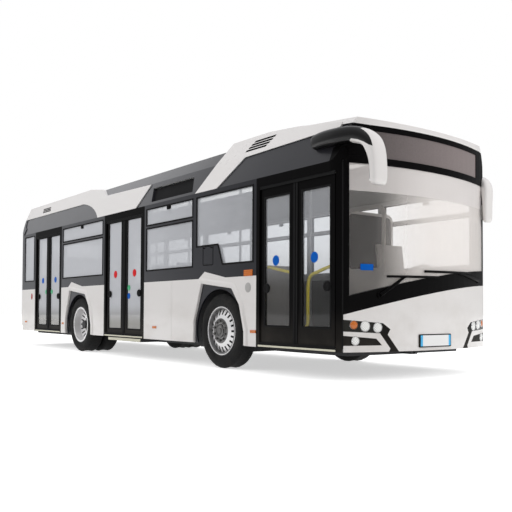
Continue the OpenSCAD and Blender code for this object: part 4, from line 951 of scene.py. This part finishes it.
# Wheel discs: how far out of the tyre's middle the hub's face lies and the disc meets the rim, and the radii
# there
HUB_FACE = {"front": 0.126, "rear": -0.052}
DISC_RIM = {"front": 0.063, "rear": -0.002}
HUB_R, DISC_R = 0.15, 0.284
# Slots of a disc: count, outer and inner radius, half width, and how proud and thick the dark blocks in them
# are, which stand in for the shade seen through the slots
SLOT_COUNT, SLOT_R, SLOT_HALF = 20, np.array([0.2745, 0.2055]), 0.0127
SLOT_SHADE_PROUD = {"front": 0.0042, "rear": -0.004}
SLOT_SHADE_THICK = 0.003
# Profiles about the axle as (radius, distance from the hub's face); a nut's has shares of its own radius
NUT_COUNT = 10
NUT = np.array([(0, -0.004), (1.25, -0.004), (1.25, 0.004), (1, 0.005), (1, 0.022), (0.7, 0.028),
                (0.55, 0.028), (0.55, 0.036), (0, 0.036)])
HUB_RING = ((0.098, 0.002), (0.104, 0.005), (0.154, 0.005), (0.16, 0.001), (0.158, -0.006), (0.098, -0.006))
HUB_CAP = {
    "front": ((0, -0.02), (0.088, -0.02), (0.092, 0.0), (0.086, 0.02), (0.07, 0.026), (0.066, 0.018),
              (0.04, 0.016), (0.036, 0.024), (0, 0.026)),
    "rear": ((0, -0.02), (0.1, -0.02), (0.104, 0.0), (0.096, 0.05), (0.084, 0.062), (0.05, 0.066),
             (0.046, 0.058), (0, 0.056)),
}


def round_axle(count, shift):
    """Directions out from the axle and along the turn at even steps, moved by a share of a step."""
    a = 2 * np.pi * (np.arange(count)[:, None] + shift) / count
    return np.cos(a) * X + np.sin(a) * Z, np.cos(a) * Z - np.sin(a) * X


def slot_liners(centre, axis, end):
    """Thin dark blocks in the slots of a wheel disc, standing in for the shade seen through them: centre + r
    out + k along + d axis, with r, k and d at the four corners of a slot, on the face and behind it."""
    slope = (HUB_FACE[end] - DISC_RIM[end]) / (DISC_R - HUB_R)
    face = DISC_RIM[end] + slope * (DISC_R - SLOT_R) + SLOT_SHADE_PROUD[end]
    row = np.array([0, 0, 1, 1])
    r = np.tile(SLOT_R[row], 2)[:, None]
    k = np.tile([-SLOT_HALF, SLOT_HALF, SLOT_HALF, -SLOT_HALF], 2)[:, None]
    d = np.concatenate([face[row], face[row] - SLOT_SHADE_THICK])[:, None]
    out, along = round_axle(SLOT_COUNT, 0.0)
    points = centre + r * out[:, None] + k * along[:, None] + d * axis
    block = np.vstack([ends(4, 4), grid(2, 4, False, True)])
    return points.reshape(-1, 3), [(block + 8 * np.arange(SLOT_COUNT)[:, None, None]).reshape(-1, 4)]


class BUS_OT_hubs(bpy.types.Operator):
    """Hub caps, rings of hexagonal wheel nuts, dark blocks of painted shade in the slots, and the front wheels'
    dishes
    """
    bl_idname = "bus.hubs"
    bl_label = "Hubs and nuts"

    def execute(self, context):
        sizes = context.scene.bus_sizes
        for end, side, s, body, centre in wheels():
            axis = s * Y
            face, rim = HUB_FACE[end], DISC_RIM[end]
            hub = centre + face * axis
            out, _ = round_axle(NUT_COUNT, 0.5)
            nuts = [lathe(NUT * [sizes.nut, 1], 6, at, axis) for at in hub + sizes.nut_circle * out]
            piece(f"wheel_nuts_{end}_{side}", join(nuts), body, "gun_metal", 30)
            # Dark blocks in the wheel slots stand in for the shade seen through them
            piece(f"slot_liners_{end}_{side}", slot_liners(centre, axis, end), body, "rubber")
            ring = revolve(HUB_RING, 48, hub, axis)
            piece(f"hub_ring_{end}_{side}", ring, body, "gun_metal", 40)
            if end == "front":
                profile = [(0.276, rim - 0.004), (0.278, rim + 0.004), (0.152, face + 0.004),
                           (0.09, face + 0.002), (0.09, face - 0.004), (0.15, face - 0.004)]
                dish = revolve(profile, 72, centre, axis)
                piece(f"wheel_dish_{side}", dish, body, "wheel_paint", 30)
            cap = lathe(HUB_CAP[end], 40, hub, axis)
            piece(f"hub_cap_{end}_{side}", cap, body, "gun_metal", 40)
        return {"FINISHED"}


# Trim of a door leaf: top of the rubber where two leaves meet, and depth of the pane's rubber; heights of
# grip, disc and buttons; how far grip and buttons lie from their edges, and radius of a button; then grip, disc
# and button as (radius, distance), the last two in shares of their own radius
MEETING_TOP, PANE_DEPTH = 2.165, 0.012
GRIP_Z, DISC_Z, BUTTON_Z, RAMP_BUTTON_Z = 1.0, 1.317, 1.088, 0.96
GRIP_STEP, BUTTON_STEP, BUTTON_R = 0.115, 0.05, 0.045
GRIP = ((0, -0.002), (0.052, -0.002), (0.056, 0.004), (0.05, 0.016), (0.034, 0.02), (0.028, 0.014),
        (0, 0.012))
DISC = np.array([(0, 0.0003), (0.985, 0.0003), (1, 0.0015), (0.97, 0.003), (0, 0.003)])
BUTTON = np.array([(0, 0.0003), (1, 0.0003), (1, 0.006), (0.8, 0.009), (0.74, 0.007), (0.3, 0.011),
                   (0, 0.012)])
# Door discs: share of the pane's length where they lie, share of the usual radius, slot and finish
DOOR_DISC = {"front": (0.43, 1, "grey_paint", "blue_disc"), "middle": (0.5, 1, "lamp_red", "red_disc"),
             "rear": (0.5, 0.95, "grey_paint", "blue_disc")}
# Handrails of the front door: edge of the pane that a point is measured from (0 at the tail, 1 at the front),
# its distance along x from there, its depth behind the leaf's face, and its height
FOOT, BAR = 0.04, 0.078
HANDRAILS = {
    "fore": ((1, 0.03, FOOT, 1.235), (1, 0, BAR, 1.235), (1, -0.08, BAR, 1.215), (0, 0.19, BAR, 1.165),
             (0, 0.06, BAR, 1.12), (0, 0.02, BAR, 1.03), (0, 0.015, BAR, 0.8), (0, 0.015, BAR, 0.6),
             (0, 0, FOOT, 0.54)),
    "aft": ((0, -0.03, FOOT, 1.25), (0, 0, BAR, 1.25), (0, 0.06, BAR, 1.238), (1, -0.06, BAR, 1.17),
            (1, 0, BAR, 1.16), (1, 0.03, FOOT, 1.16)),
}


class BUS_OT_doors(bpy.types.Operator):
    """Seals, pane rubbers, grips, blank discs and buttons on the door leaves, and the yellow handrails"""
    bl_idname = "bus.doors"
    bl_label = "Door trim"

    def execute(self, context):
        sizes = context.scene.bus_sizes
        g = sizes.gasket * 0.8
        section = [(-0.6 * g, -PANE_DEPTH), (-0.6 * g, 0.1 * g), (-0.1 * g, 0.26 * g), (0.5 * g, 0.2 * g),
                   (0.6 * g, 0.0), (0.6 * g, -PANE_DEPTH)]
        for door in DOORS:
            for name, s in (("fore", 1), ("aft", -1)):
                self.dress_leaf(sizes, section, door, name, s)
        return {"FINISHED"}

    def dress_leaf(self, sizes, section, door, name, s):
        """Trim of one leaf, whose meeting edge is its tail end (s = 1) or its front end (s = -1)."""
        body = f"{door}_door_leaf_{name}"
        (x0, face, z0), (x1, _, _) = (np.array(v, float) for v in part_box(body))
        (gx0, glass, gz0), (gx1, _, gz1) = (np.array(v, float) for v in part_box(f"{door}_door_pane_{name}"))
        meet, far, inner = (x0, x1, gx0) if s > 0 else (x1, x0, gx1)
        a, b = sorted((meet, meet + s * sizes.seal))
        rubbers = [plate(rectangle((a + 0.001, z0 + 0.01), (b - 0.001, MEETING_TOP)), 0.008, face * Y, X, Z),
                   frame_strip(rectangle((gx0, gz0), (gx1, gz1)), section, face * Y, X, Z)]
        piece(f"{door}_leaf_rubber_{name}", join(rubbers), body, "rubber")
        grip = lathe(GRIP, 28, (far - s * GRIP_STEP, face, GRIP_Z), -Y)
        piece(f"{door}_door_grip_{name}", grip, body, "rubber")
        share, size, slot, look = DOOR_DISC[door]
        disc = lathe(DISC * [sizes.disc * size, 1], 36, (gx0 + (gx1 - gx0) * share, glass, DISC_Z), -Y)
        piece(f"{door}_door_disc_{name}", disc, body, look)
        buttons = []
        if door == "rear" or (door == "middle" and s > 0):
            buttons.append((f"{door}_door_button_{name}", BUTTON_Z, "green_button"))
        if door == "middle" and s > 0:
            buttons.append(("ramp_button", RAMP_BUTTON_Z, "blue_disc"))
        for title, z, look in buttons:
            button = lathe(BUTTON * [BUTTON_R, 1], 30, (inner + s * BUTTON_STEP, glass, z), -Y)
            piece(title, button, body, look)
        if door == "front":
            path = [((gx0, gx1)[edge] + x, face + y, z) for edge, x, y, z in HANDRAILS[name]]
            rail = tube(smooth_path(path), sizes.handrail, 12)
            piece(f"front_door_handrail_{name}", rail, body, "yellow_rail", 60)


# Sill strips and the ramp's edge: half length, foot, top; then the brush seals: half length, and foot and top
# of each
SILL, RAMP = (0.655, 0.317, 0.337), (0.555, 0.254, 0.297)
BRUSH_HALF, BRUSH_LEVELS = 0.64, ((0.338, 0.373), (2.167, 2.203))
# Seal at the front door's corner pillar: x from the door's middle, y in from the side, foot and top
CORNER_X, CORNER_Y, CORNER_Z = 0.6945, 0.0645, (0.345, 2.3)


class BUS_OT_sills(bpy.types.Operator):
    """Pale sill strips below the doors, the edge of the ramp, and the seals of the doorways"""
    bl_idname = "bus.sills"
    bl_label = "Door sills"

    def execute(self, context):
        ramp_y = float(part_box("underframe")[0][1])
        rows = [(x, -SIDE, SILL) for x in DOORS.values()] + [(DOORS["middle"], ramp_y, RAMP)]
        strips = [plate(rounded((x - half, low), (x + half, top), 0.004, 3), 0.006, y * Y, X, Z)
                  for x, y, (half, low, top) in rows]
        piece("sill_strips", join(strips), "body", "sill_strip")
        seals = []
        for x in DOORS.values():
            for low, top in BRUSH_LEVELS:
                flap = [(0.0, low), (0.006, low), (0.012, (low + top) / 2), (0.006, top), (0.0, top)]
                seals.append(sweep_x(flap, x - BRUSH_HALF, x + BRUSH_HALF, -SIDE + 0.004))
        corner = np.array([DOORS["front"] + CORNER_X, -SIDE + CORNER_Y, 0])
        seals.append(tube(corner + np.linspace(*CORNER_Z, 5)[:, None] * Z, 0.0075, 10))
        piece("door_seals", join(seals), "body", "rubber")
        return {"FINISHED"}


# Front lamps: distance from the middle, height, share of the usual radius, and whether the lens is amber
LAMPS = ((0.974, 0.58, 1, False), (0.827, 0.566, 0.96, False), (1.103, 0.594, 0.82, True),
         (1.085, 0.428, 0.84, False))
# Ring round a front lamp, as (share of its radius, distance), and round a rear lamp, as (radius, distance)
LAMP_RING = np.array([(0.99, 0.004), (1.06, 0.009), (1.13, 0.004), (1.13, -0.006), (1, -0.006)])
REAR_RING = ((0.05, 0.003), (0.054, 0.006), (0.058, 0.003), (0.058, -0.006), (0.05, -0.006))
# Lens of a front lamp: an arc from its rim nearly to its pole, as (share of its radius, distance), and its back
LENS_TURN = np.linspace(0, 1, 6) * np.pi / 2 * 0.96
LENS_ARC = np.stack([np.cos(LENS_TURN), 0.012 * np.sin(LENS_TURN)], 1)
LENS_SHAPE = np.vstack([[(0, -0.006), (1, -0.004)], LENS_ARC, [(0, 0.0121)]])
# Rear lamps on the tail's round corner: y of the lamps, y of the corner's centre, and heights of the lamps
REAR_LAMP_Y, TAIL_Y, REAR_LAMP_Z = 1.065, 0.925, (0.83, 0.99, 1.15)


class BUS_OT_lamps(bpy.types.Operator):
    """Round headlamps with bright rings, indicators, fog lamps and rings in the rear lamps"""
    bl_idname = "bus.lamps"
    bl_label = "Lamps"

    def execute(self, context):
        rings, white, amber, rear = [], [], [], []
        for s in (-1, 1):
            for y, z, share, is_amber in LAMPS:
                r = context.scene.bus_sizes.lamp * share
                at, way = np.array([float(bow_x(y)), s * y, z]), bow_normal(s * y)
                rings.append(revolve(LAMP_RING * [r, 1], 32, at, way))
                (amber if is_amber else white).append(lathe(LENS_SHAPE * [r, 1], 28, at, way))
            out = REAR_LAMP_Y - TAIL_Y
            back = math.sqrt(TAIL_R ** 2 - out ** 2)
            for z in REAR_LAMP_Z:
                at = (REAR + TAIL_R - back, s * REAR_LAMP_Y, z)
                rear.append(revolve(REAR_RING, 28, at, (-back, s * out, 0)))
        piece("lamp_rings", join(rings), "body", "bright_steel", 50)
        piece("headlamp_lenses", join(white), "body", "lamp_white", 60)
        piece("indicator_lenses", join(amber), "body", "lamp_amber", 60)
        piece("rear_lamp_rings", join(rear), "body", "bright_steel", 50)
        return {"FINISHED"}


# Number plate: foot and top of its face, and how far behind the front its holder starts
PLATE_LOW, PLATE_TOP, PLATE_BACK = 0.357, 0.476, 0.012
# Sticker on the windscreen: its two ends, foot, top, back and face
STICKER = (-1.026, -0.878, 1.165, 1.231, -0.0005, 0.0012)


def plate_block(y, half, low, top, depth, r, steps):
    """A block of the number plate, with its middle at y, rounded corners and the given depth."""
    return plate(rounded((y - half, low), (y + half, top), r, steps), depth, (FRONT - PLATE_BACK) * X, Y, Z)


class BUS_OT_plate(bpy.types.Operator):
    """Blank number plate in its black holder, and the blank sticker on the windscreen"""
    bl_idname = "bus.plate"
    bl_label = "Number plate"

    def execute(self, context):
        holder = plate_block(0, 0.27, PLATE_LOW - 0.012, PLATE_TOP + 0.012, 0.018, 0.012, 4)
        piece("plate_holder", holder, "body", "black_trim")
        face = plate_block(0, 0.222, PLATE_LOW, PLATE_TOP, 0.0215, 0.002, 2)
        piece("plate_face", face, "body", "plate_white")
        sides = [plate_block(y, 0.0175, PLATE_LOW, PLATE_TOP, 0.0215, 0.002, 2) for y in (-0.24, 0.24)]
        piece("plate_ends", join(sides), "body", "plate_blue")
        piece("screen_sticker", bow_plate(*STICKER), "body", "blue_disc")
        return {"FINISHED"}


# Wipers: start and end of each arm and blade as (y, z) in shares of their span, and radius of its thicker end;
# then the span, height of the middle above the foot of the solids as a length and a share, and distance from
# the glass
WIPERS = (((-0.7, -0.22), (-0.41, -0.04), 0.021), ((-0.62, -0.045), (0.05, -0.035), 0.013),
          ((0.845, -0.04), (0.4, 0.018), 0.021), ((0.635, 0.028), (-0.155, 0.016), 0.013))
WIPER_SPAN, WIPER_PIVOT, WIPER_RISE, WIPER_OFF = 1.15, 0.03, 0.22, 0.016


class BUS_OT_wipers(bpy.types.Operator):
    """Tapered arms and blades over the plain wipers"""
    bl_idname = "bus.wipers"
    bl_label = "Wipers"

    def execute(self, context):
        level = float(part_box("wipers")[0][2]) + WIPER_PIVOT + WIPER_RISE * WIPER_SPAN
        share = np.linspace(0, 1, 14)[:, None]
        arms = []
        for start, end, thick in WIPERS:
            y, z = (WIPER_SPAN * (np.array(start) + share * (np.array(end) - np.array(start)))).T
            path = np.stack([bow_x(y) + WIPER_OFF, y, level + z], 1)
            arms.append(tube(path, thick * (1 - 0.5 * share), 8))
        piece("wiper_arms", join(arms), "body", "black_trim")
        return {"FINISHED"}


# Outline of a wheel arch in shares of its half length and its height above its foot, and these three sizes
ARCH = np.array([(1, 0.01), (1, 0.22), (0.83, 0.64), (0.54, 0.9), (-0.68, 1), (-1, 0.36), (-1, 0.01)])
ARCH_HALF, ARCH_FOOT, ARCH_H = 0.565, 0.31, 0.78
# Round cover ahead of the front arch and oval button at the tail: (radius, distance) profile, place in x and
# z, and how the oval is stretched
COVER = ((0, -0.001), (0.06, -0.001), (0.06, 0.002), (0.056, 0.005), (0.02, 0.007), (0, 0.0072))
COVER_X, COVER_Z = 3.172, 1.017
OVAL = ((0, -0.001), (0.05, -0.001), (0.05, 0.004), (0.042, 0.008), (0.034, 0.005), (0, 0.006))
OVAL_X, OVAL_Z, OVAL_STRETCH = -4.29, 1.009, (0.7, 1, 1.3)


class BUS_OT_arches(bpy.types.Operator):
    """Rolled lips along the wheel arches, a round cover ahead of the front arch and an oval at the tail"""
    bl_idname = "bus.arches"
    bl_label = "Wheel arches"

    def execute(self, context):
        h = context.scene.bus_sizes.flare
        section = [(0.001, -0.03), (0.001, h * 0.6), (0.008, h), (0.05, h), (0.066, h * 0.45), (0.074, 0.0),
                   (0.074, -0.002)]
        lips = []
        for x in (FRONT_AXLE, REAR_AXLE):
            line = ARCH * [ARCH_HALF, ARCH_H] + [x, ARCH_FOOT]
            lips += [side_strip(line, section, s, False) for s in (-1, 1)]
        piece("arch_lips", join(lips), "body", "white_paint", 25)
        cover = lathe(COVER, 36, (COVER_X, -SIDE, COVER_Z), -Y)
        piece("arch_cover", cover, "body", "sensor_grey", 50)
        points, faces = lathe(OVAL, 28, (0, 0, 0), -Y)
        oval = points * OVAL_STRETCH + [OVAL_X, -SIDE, OVAL_Z], faces
        piece("tail_button", oval, "body", "lamp_red", 50)
        return {"FINISHED"}


# Stations of a mirror, from the roof down: shares of its length and height, half depth and half width in
# metres, and share of its width where its middle lies
MIRROR_STATIONS = np.array([
    (0.02, 0.800, 0.052, 0.050, 0.50), (0.05, 0.815, 0.072, 0.070, 0.53), (0.14, 0.828, 0.080, 0.082, 0.58),
    (0.30, 0.822, 0.084, 0.092, 0.64), (0.50, 0.802, 0.086, 0.100, 0.67), (0.68, 0.785, 0.084, 0.108, 0.60),
    (0.80, 0.738, 0.082, 0.114, 0.52), (0.89, 0.648, 0.074, 0.116, 0.46), (0.93, 0.520, 0.064, 0.114, 0.41),
    (0.946, 0.380, 0.052, 0.110, 0.37), (0.953, 0.220, 0.047, 0.106, 0.35),
    (0.953, 0.090, 0.044, 0.102, 0.35), (0.952, 0.035, 0.036, 0.090, 0.35),
    (0.951, 0.012, 0.020, 0.064, 0.35)])
# The left mirror's first x, foot, length and height, and the mirror glasses: middle y, x, foot and top
LEFT_MIRROR = (FRONT - 0.11 - 0.56, 1.83, 0.56, 0.7)
MIRROR_GLASSES = ((-1.121, FRONT + 0.143, 2.03, 2.22), (1.1825, FRONT - 0.169, 1.87, 2.06))


def mirror_horn(x0, z0, long, height, y_in, width, side, scale):
    """A rounded section carried along the mirror's stations: middle + depth |sin|^e n + width |cos|^e across,
    where n is square to the line in the side view and e = 0.62 squares the section."""
    row = smooth_path(MIRROR_STATIONS, 5)
    line = np.array([x0, z0]) + row[:, :2] * [long, height]
    along = np.gradient(line, axis=0)
    along /= np.linalg.norm(along, axis=1)[:, None]
    t = np.linspace(0, 2 * np.pi, 28, endpoint=False)
    round_way = np.stack([np.sin(t), np.cos(t)])
    deep, wide = np.sign(round_way) * np.abs(round_way) ** 0.62
    depth, across = scale * row[:, 2:3] * deep, scale * row[:, 3:4] * wide
    x = line[:, :1] + depth * along[:, 1:]
    z = line[:, 1:] - depth * along[:, :1]
    y = side * (y_in + width * row[:, 4:5] + across)
    skin = grid(len(row), len(t), False, True)
    if side > 0:
        skin = skin[:, ::-1]
    return np.stack([x, y, z], -1).reshape(-1, 3), [skin, ends(len(t), (len(row) - 1) * len(t), side < 0)]


class BUS_OT_mirrors(bpy.types.Operator):
    """Moulded mirror horns in place of the plain solids, with the glasses on their backs"""
    bl_idname = "bus.mirrors"
    bl_label = "Mirrors"

    def execute(self, context):
        right = mirror_horn(MIRROR_X, MIRROR_Z, MIRROR_L, MIRROR_H, 1.0, 0.345, -1, 1.0)
        left = mirror_horn(*LEFT_MIRROR, 1.095, 0.25, 1, 0.72)
        shells = piece("mirror_horns", join([right, left]), "body", "mirror_shell", 50)
        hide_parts("mirrors")
        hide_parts("mirror_arms")
        glasses = [plate(rounded((-y - 0.075, low), (-y + 0.075, top), 0.03, 5), 0.008, x * X, -Y, Z)
                   for y, x, low, top in MIRROR_GLASSES]
        piece("mirror_glasses", join(glasses), "body", "bright_steel")
        return {"FINISHED"}


# Seats as in the solids: step between rows, x and z of a seat's and a back's pad, y of the two seats of a
# pair, lean of a back, and height of the step at the tail
ROW_STEP, SEAT_X, SEAT_Z, BACK_X, BACK_Z = 0.72, 0.25, 0.46, -0.037, 0.82
SEAT_Y = (0.205, 0.635)
LEAN = math.atan2(0.068, 0.53)
TAIL_STEP = 0.82
# The wall behind the driver, and the foot of the driver's seat
CAB_X = FRONT - 1.72
DRIVER = (CAB_X + 0.56, 0.63, FLOOR_Z + 0.18)


class BUS_OT_saloon(bpy.types.Operator):
    """Seat pads, the dark screen behind the driver and the ceiling lamps"""
    bl_idname = "bus.saloon"
    bl_label = "Saloon"

    def execute(self, context):
        t = context.scene.bus_sizes.pad / 2
        rows = [(REAR_AXLE + 0.81 + i * ROW_STEP, 0.335, FLOOR_Z) for i in range(4)]
        rows += [(DOORS["middle"] + 0.885 + i * ROW_STEP, -1.195, FLOOR_Z) for i in range(2)]
        rows += [(REAR + 0.535, y, TAIL_STEP) for y in (-0.84, 0.02)]
        upright, skin = pillow((0, 0, 0), (t, 0.175, 0.22), 5.0)
        c, s = math.cos(LEAN), math.sin(LEAN)
        leaning = upright @ np.array([(c, 0, s), (0, 1, 0), (-s, 0, c)])
        pads = []
        for x, y, z in rows:
            for step in SEAT_Y:
                pads.append(pillow((x + SEAT_X, y + step, z + SEAT_Z + t), (0.16, 0.175, t), 5.0))
                pads.append((leaning + [x + BACK_X + t, y + step, z + BACK_Z], skin))
        x, y, z = DRIVER
        pads.append(pillow((x + SEAT_X, y, z + SEAT_Z + t), (0.17, 0.2, t), 5.0))
        piece("seat_pads", join(pads), "body", "seat_cloth", 60)
        screen = plate(rounded((0.2, 1.285), (1.17, 2.06), 0.07, 5), 0.006, (CAB_X + 0.015) * X, Y, Z)
        piece("cab_screen", screen, "body", "cab_screen")
        lamps = [pillow((0.0, y, CEILING_Z - 0.0105), (3.9, 0.06, 0.01), 8.0, 7, 0.2) for y in (-0.75, 0.75)]
        piece("ceiling_lamps", join(lamps), "body", "ceiling_light")
        return {"FINISHED"}


# Lights of the stage: place, the point they look at, size and power
LIGHTS = {
    "key_light": ((-7.0, -14.0, 8.0), (-3.0, 0.0, 1.4), (9.0, 5.0), 600.0),
    "front_light": ((14.0, 7.0, 5.0), (4.9, 0.6, 1.2), (6.0, 5.0), 480.0),
    "back_light": ((-10.0, 9.0, 9.0), (0.0, 0.0, 1.5), (8.0, 5.0), 350.0),
}
# The camera stands where the photograph was taken from: place, yaw, pitch and roll, then lens and shift
CAMERA_AT = (9.90724, -6.26111, 0.73675)
YAW, PITCH, ROLL = np.radians([142.535, 1.5895, 0.2556])
CAMERA_LENS, CAMERA_SHIFT = 48.919, (-0.00696, 0.06928)
STAGE_HALF = 90.0
WHITE = (1.0, 1.0, 1.0, 1.0)


def aimed(at, way, roll=0.0):
    """The matrix of a light or camera that stands at a place, looks along a way and is rolled about it."""
    d = unit(way)
    r = unit(np.cross(d, Z))
    u = np.cross(r, d)
    c, s = math.cos(roll), math.sin(roll)
    axes = np.stack([c * r + s * u, c * u - s * r, -d, np.array(at)], 1)
    return Matrix(np.vstack([axes, [0, 0, 0, 1]]).tolist())


def stage_floor():
    """The pale floor, which glows as well for the rays that see it."""
    f = Finish("stage_floor")
    path = f.start.node("ShaderNodeLightPath")
    camera, glossy, through = path.outputs("Is Camera Ray", "Is Glossy Ray", "Is Transmission Ray")
    cloth = f.start.node("ShaderNodeBsdfDiffuse", sockets={"Color": (0.86, 0.86, 0.85, 1.0)})
    glow = f.start.node("ShaderNodeEmission", sockets={"Color": WHITE, "Strength": 0.55})
    both = f.start.node("ShaderNodeAddShader", sockets={0: cloth, 1: glow})
    f.done(camera.most(glossy).most(through).blend(cloth, both))
    mesh = bpy.data.meshes.new("floor")
    flat = rectangle((-STAGE_HALF, -STAGE_HALF), (STAGE_HALF, STAGE_HALF))
    mesh.from_pydata([(x, y, 0) for x, y in flat], [], [(0, 1, 2, 3)])
    mesh.materials.append(f.material)
    return bpy.data.objects.new("stage_ground", mesh)


def studio():
    """The world: white for the rays that see it, and for the others a soft sky that is brighter overhead."""
    world = bpy.data.worlds.new("studio")
    world.use_nodes = True
    world.node_tree.nodes.clear()
    w = Wire(world.node_tree, None)
    camera, through = w.node("ShaderNodeLightPath").outputs("Is Camera Ray", "Is Transmission Ray")
    way = w.node("ShaderNodeTexCoord", out=0)
    (rise,) = way.node("ShaderNodeSeparateXYZ", sockets={0: way}).outputs(2)
    low = w.node("ShaderNodeBackground", sockets={"Color": (0.97, 0.98, 1.0, 1.0), "Strength": 0.38})
    high = w.node("ShaderNodeBackground", sockets={"Color": (0.98, 0.98, 1.0, 1.0), "Strength": 1.02})
    back = w.node("ShaderNodeBackground", sockets={"Color": WHITE, "Strength": 1.0})
    sky = rise.soft(0.05, 0.75).blend(low, high)
    w.node("ShaderNodeOutputWorld", sockets={"Surface": camera.most(through).blend(sky, back)})
    return world


class BUS_OT_stage(bpy.types.Operator):
    """Pale floor, soft studio light and the camera"""
    bl_idname = "bus.stage"
    bl_label = "Stage"

    def execute(self, context):
        scene = context.scene
        scene.view_settings.view_transform = "Standard"
        ground = stage_floor()
        scene.collection.objects.link(ground)
        scene.world = studio()
        for name, (at, to, size, power) in LIGHTS.items():
            lamp = bpy.data.lights.new(name, "AREA")
            lamp.shape = "RECTANGLE"
            lamp.size, lamp.size_y = size
            lamp.energy = power
            obj = bpy.data.objects.new(name, lamp)
            scene.collection.objects.link(obj)
            obj.matrix_world = aimed(at, np.array(to) - np.array(at))
            obj.visible_glossy = False
        optics = bpy.data.cameras.new("camera")
        optics.sensor_width = 36.0
        optics.lens = CAMERA_LENS
        optics.shift_x, optics.shift_y = CAMERA_SHIFT
        optics.clip_end = 400.0
        camera = bpy.data.objects.new("camera", optics)
        scene.collection.objects.link(camera)
        flat = math.cos(PITCH)
        way = (flat * math.cos(YAW), flat * math.sin(YAW), math.sin(PITCH))
        camera.matrix_world = aimed(CAMERA_AT, way, ROLL)
        scene.camera = camera
        return {"FINISHED"}


OPERATORS = (BUS_OT_stage, BUS_OT_paint, BUS_OT_gaskets, BUS_OT_tyres, BUS_OT_hubs, BUS_OT_doors,
             BUS_OT_sills, BUS_OT_lamps, BUS_OT_plate, BUS_OT_wipers, BUS_OT_arches, BUS_OT_mirrors,
             BUS_OT_saloon)


class BUS_PT_sidebar(bpy.types.Panel):
    """Lists the steps that dress the bus"""
    bl_idname = "BUS_PT_sidebar"
    bl_label = "Electric city bus"
    bl_space_type = "VIEW_3D"
    bl_region_type = "UI"
    bl_category = "Bus"

    def draw(self, context):
        for step in OPERATORS:
            self.layout.operator(step.bl_idname)


CLASSES = (BusColours, BusSizes) + OPERATORS + (BUS_PT_sidebar,)


def register():
    """Registers the classes and puts the settings on the scene."""
    for c in CLASSES:
        bpy.utils.register_class(c)
    bpy.types.Scene.bus_colours = bpy.props.PointerProperty(type=BusColours)
    bpy.types.Scene.bus_sizes = bpy.props.PointerProperty(type=BusSizes)


def unregister():
    """Takes the settings off the scene and unregisters the classes."""
    del bpy.types.Scene.bus_sizes
    del bpy.types.Scene.bus_colours
    for c in reversed(CLASSES):
        bpy.utils.unregister_class(c)


def main():
    """Runs the operators in order."""
    register()
    for step in OPERATORS:
        getattr(bpy.ops.bus, step.bl_idname.split(".")[1])()


if __name__ == "__main__":
    main()
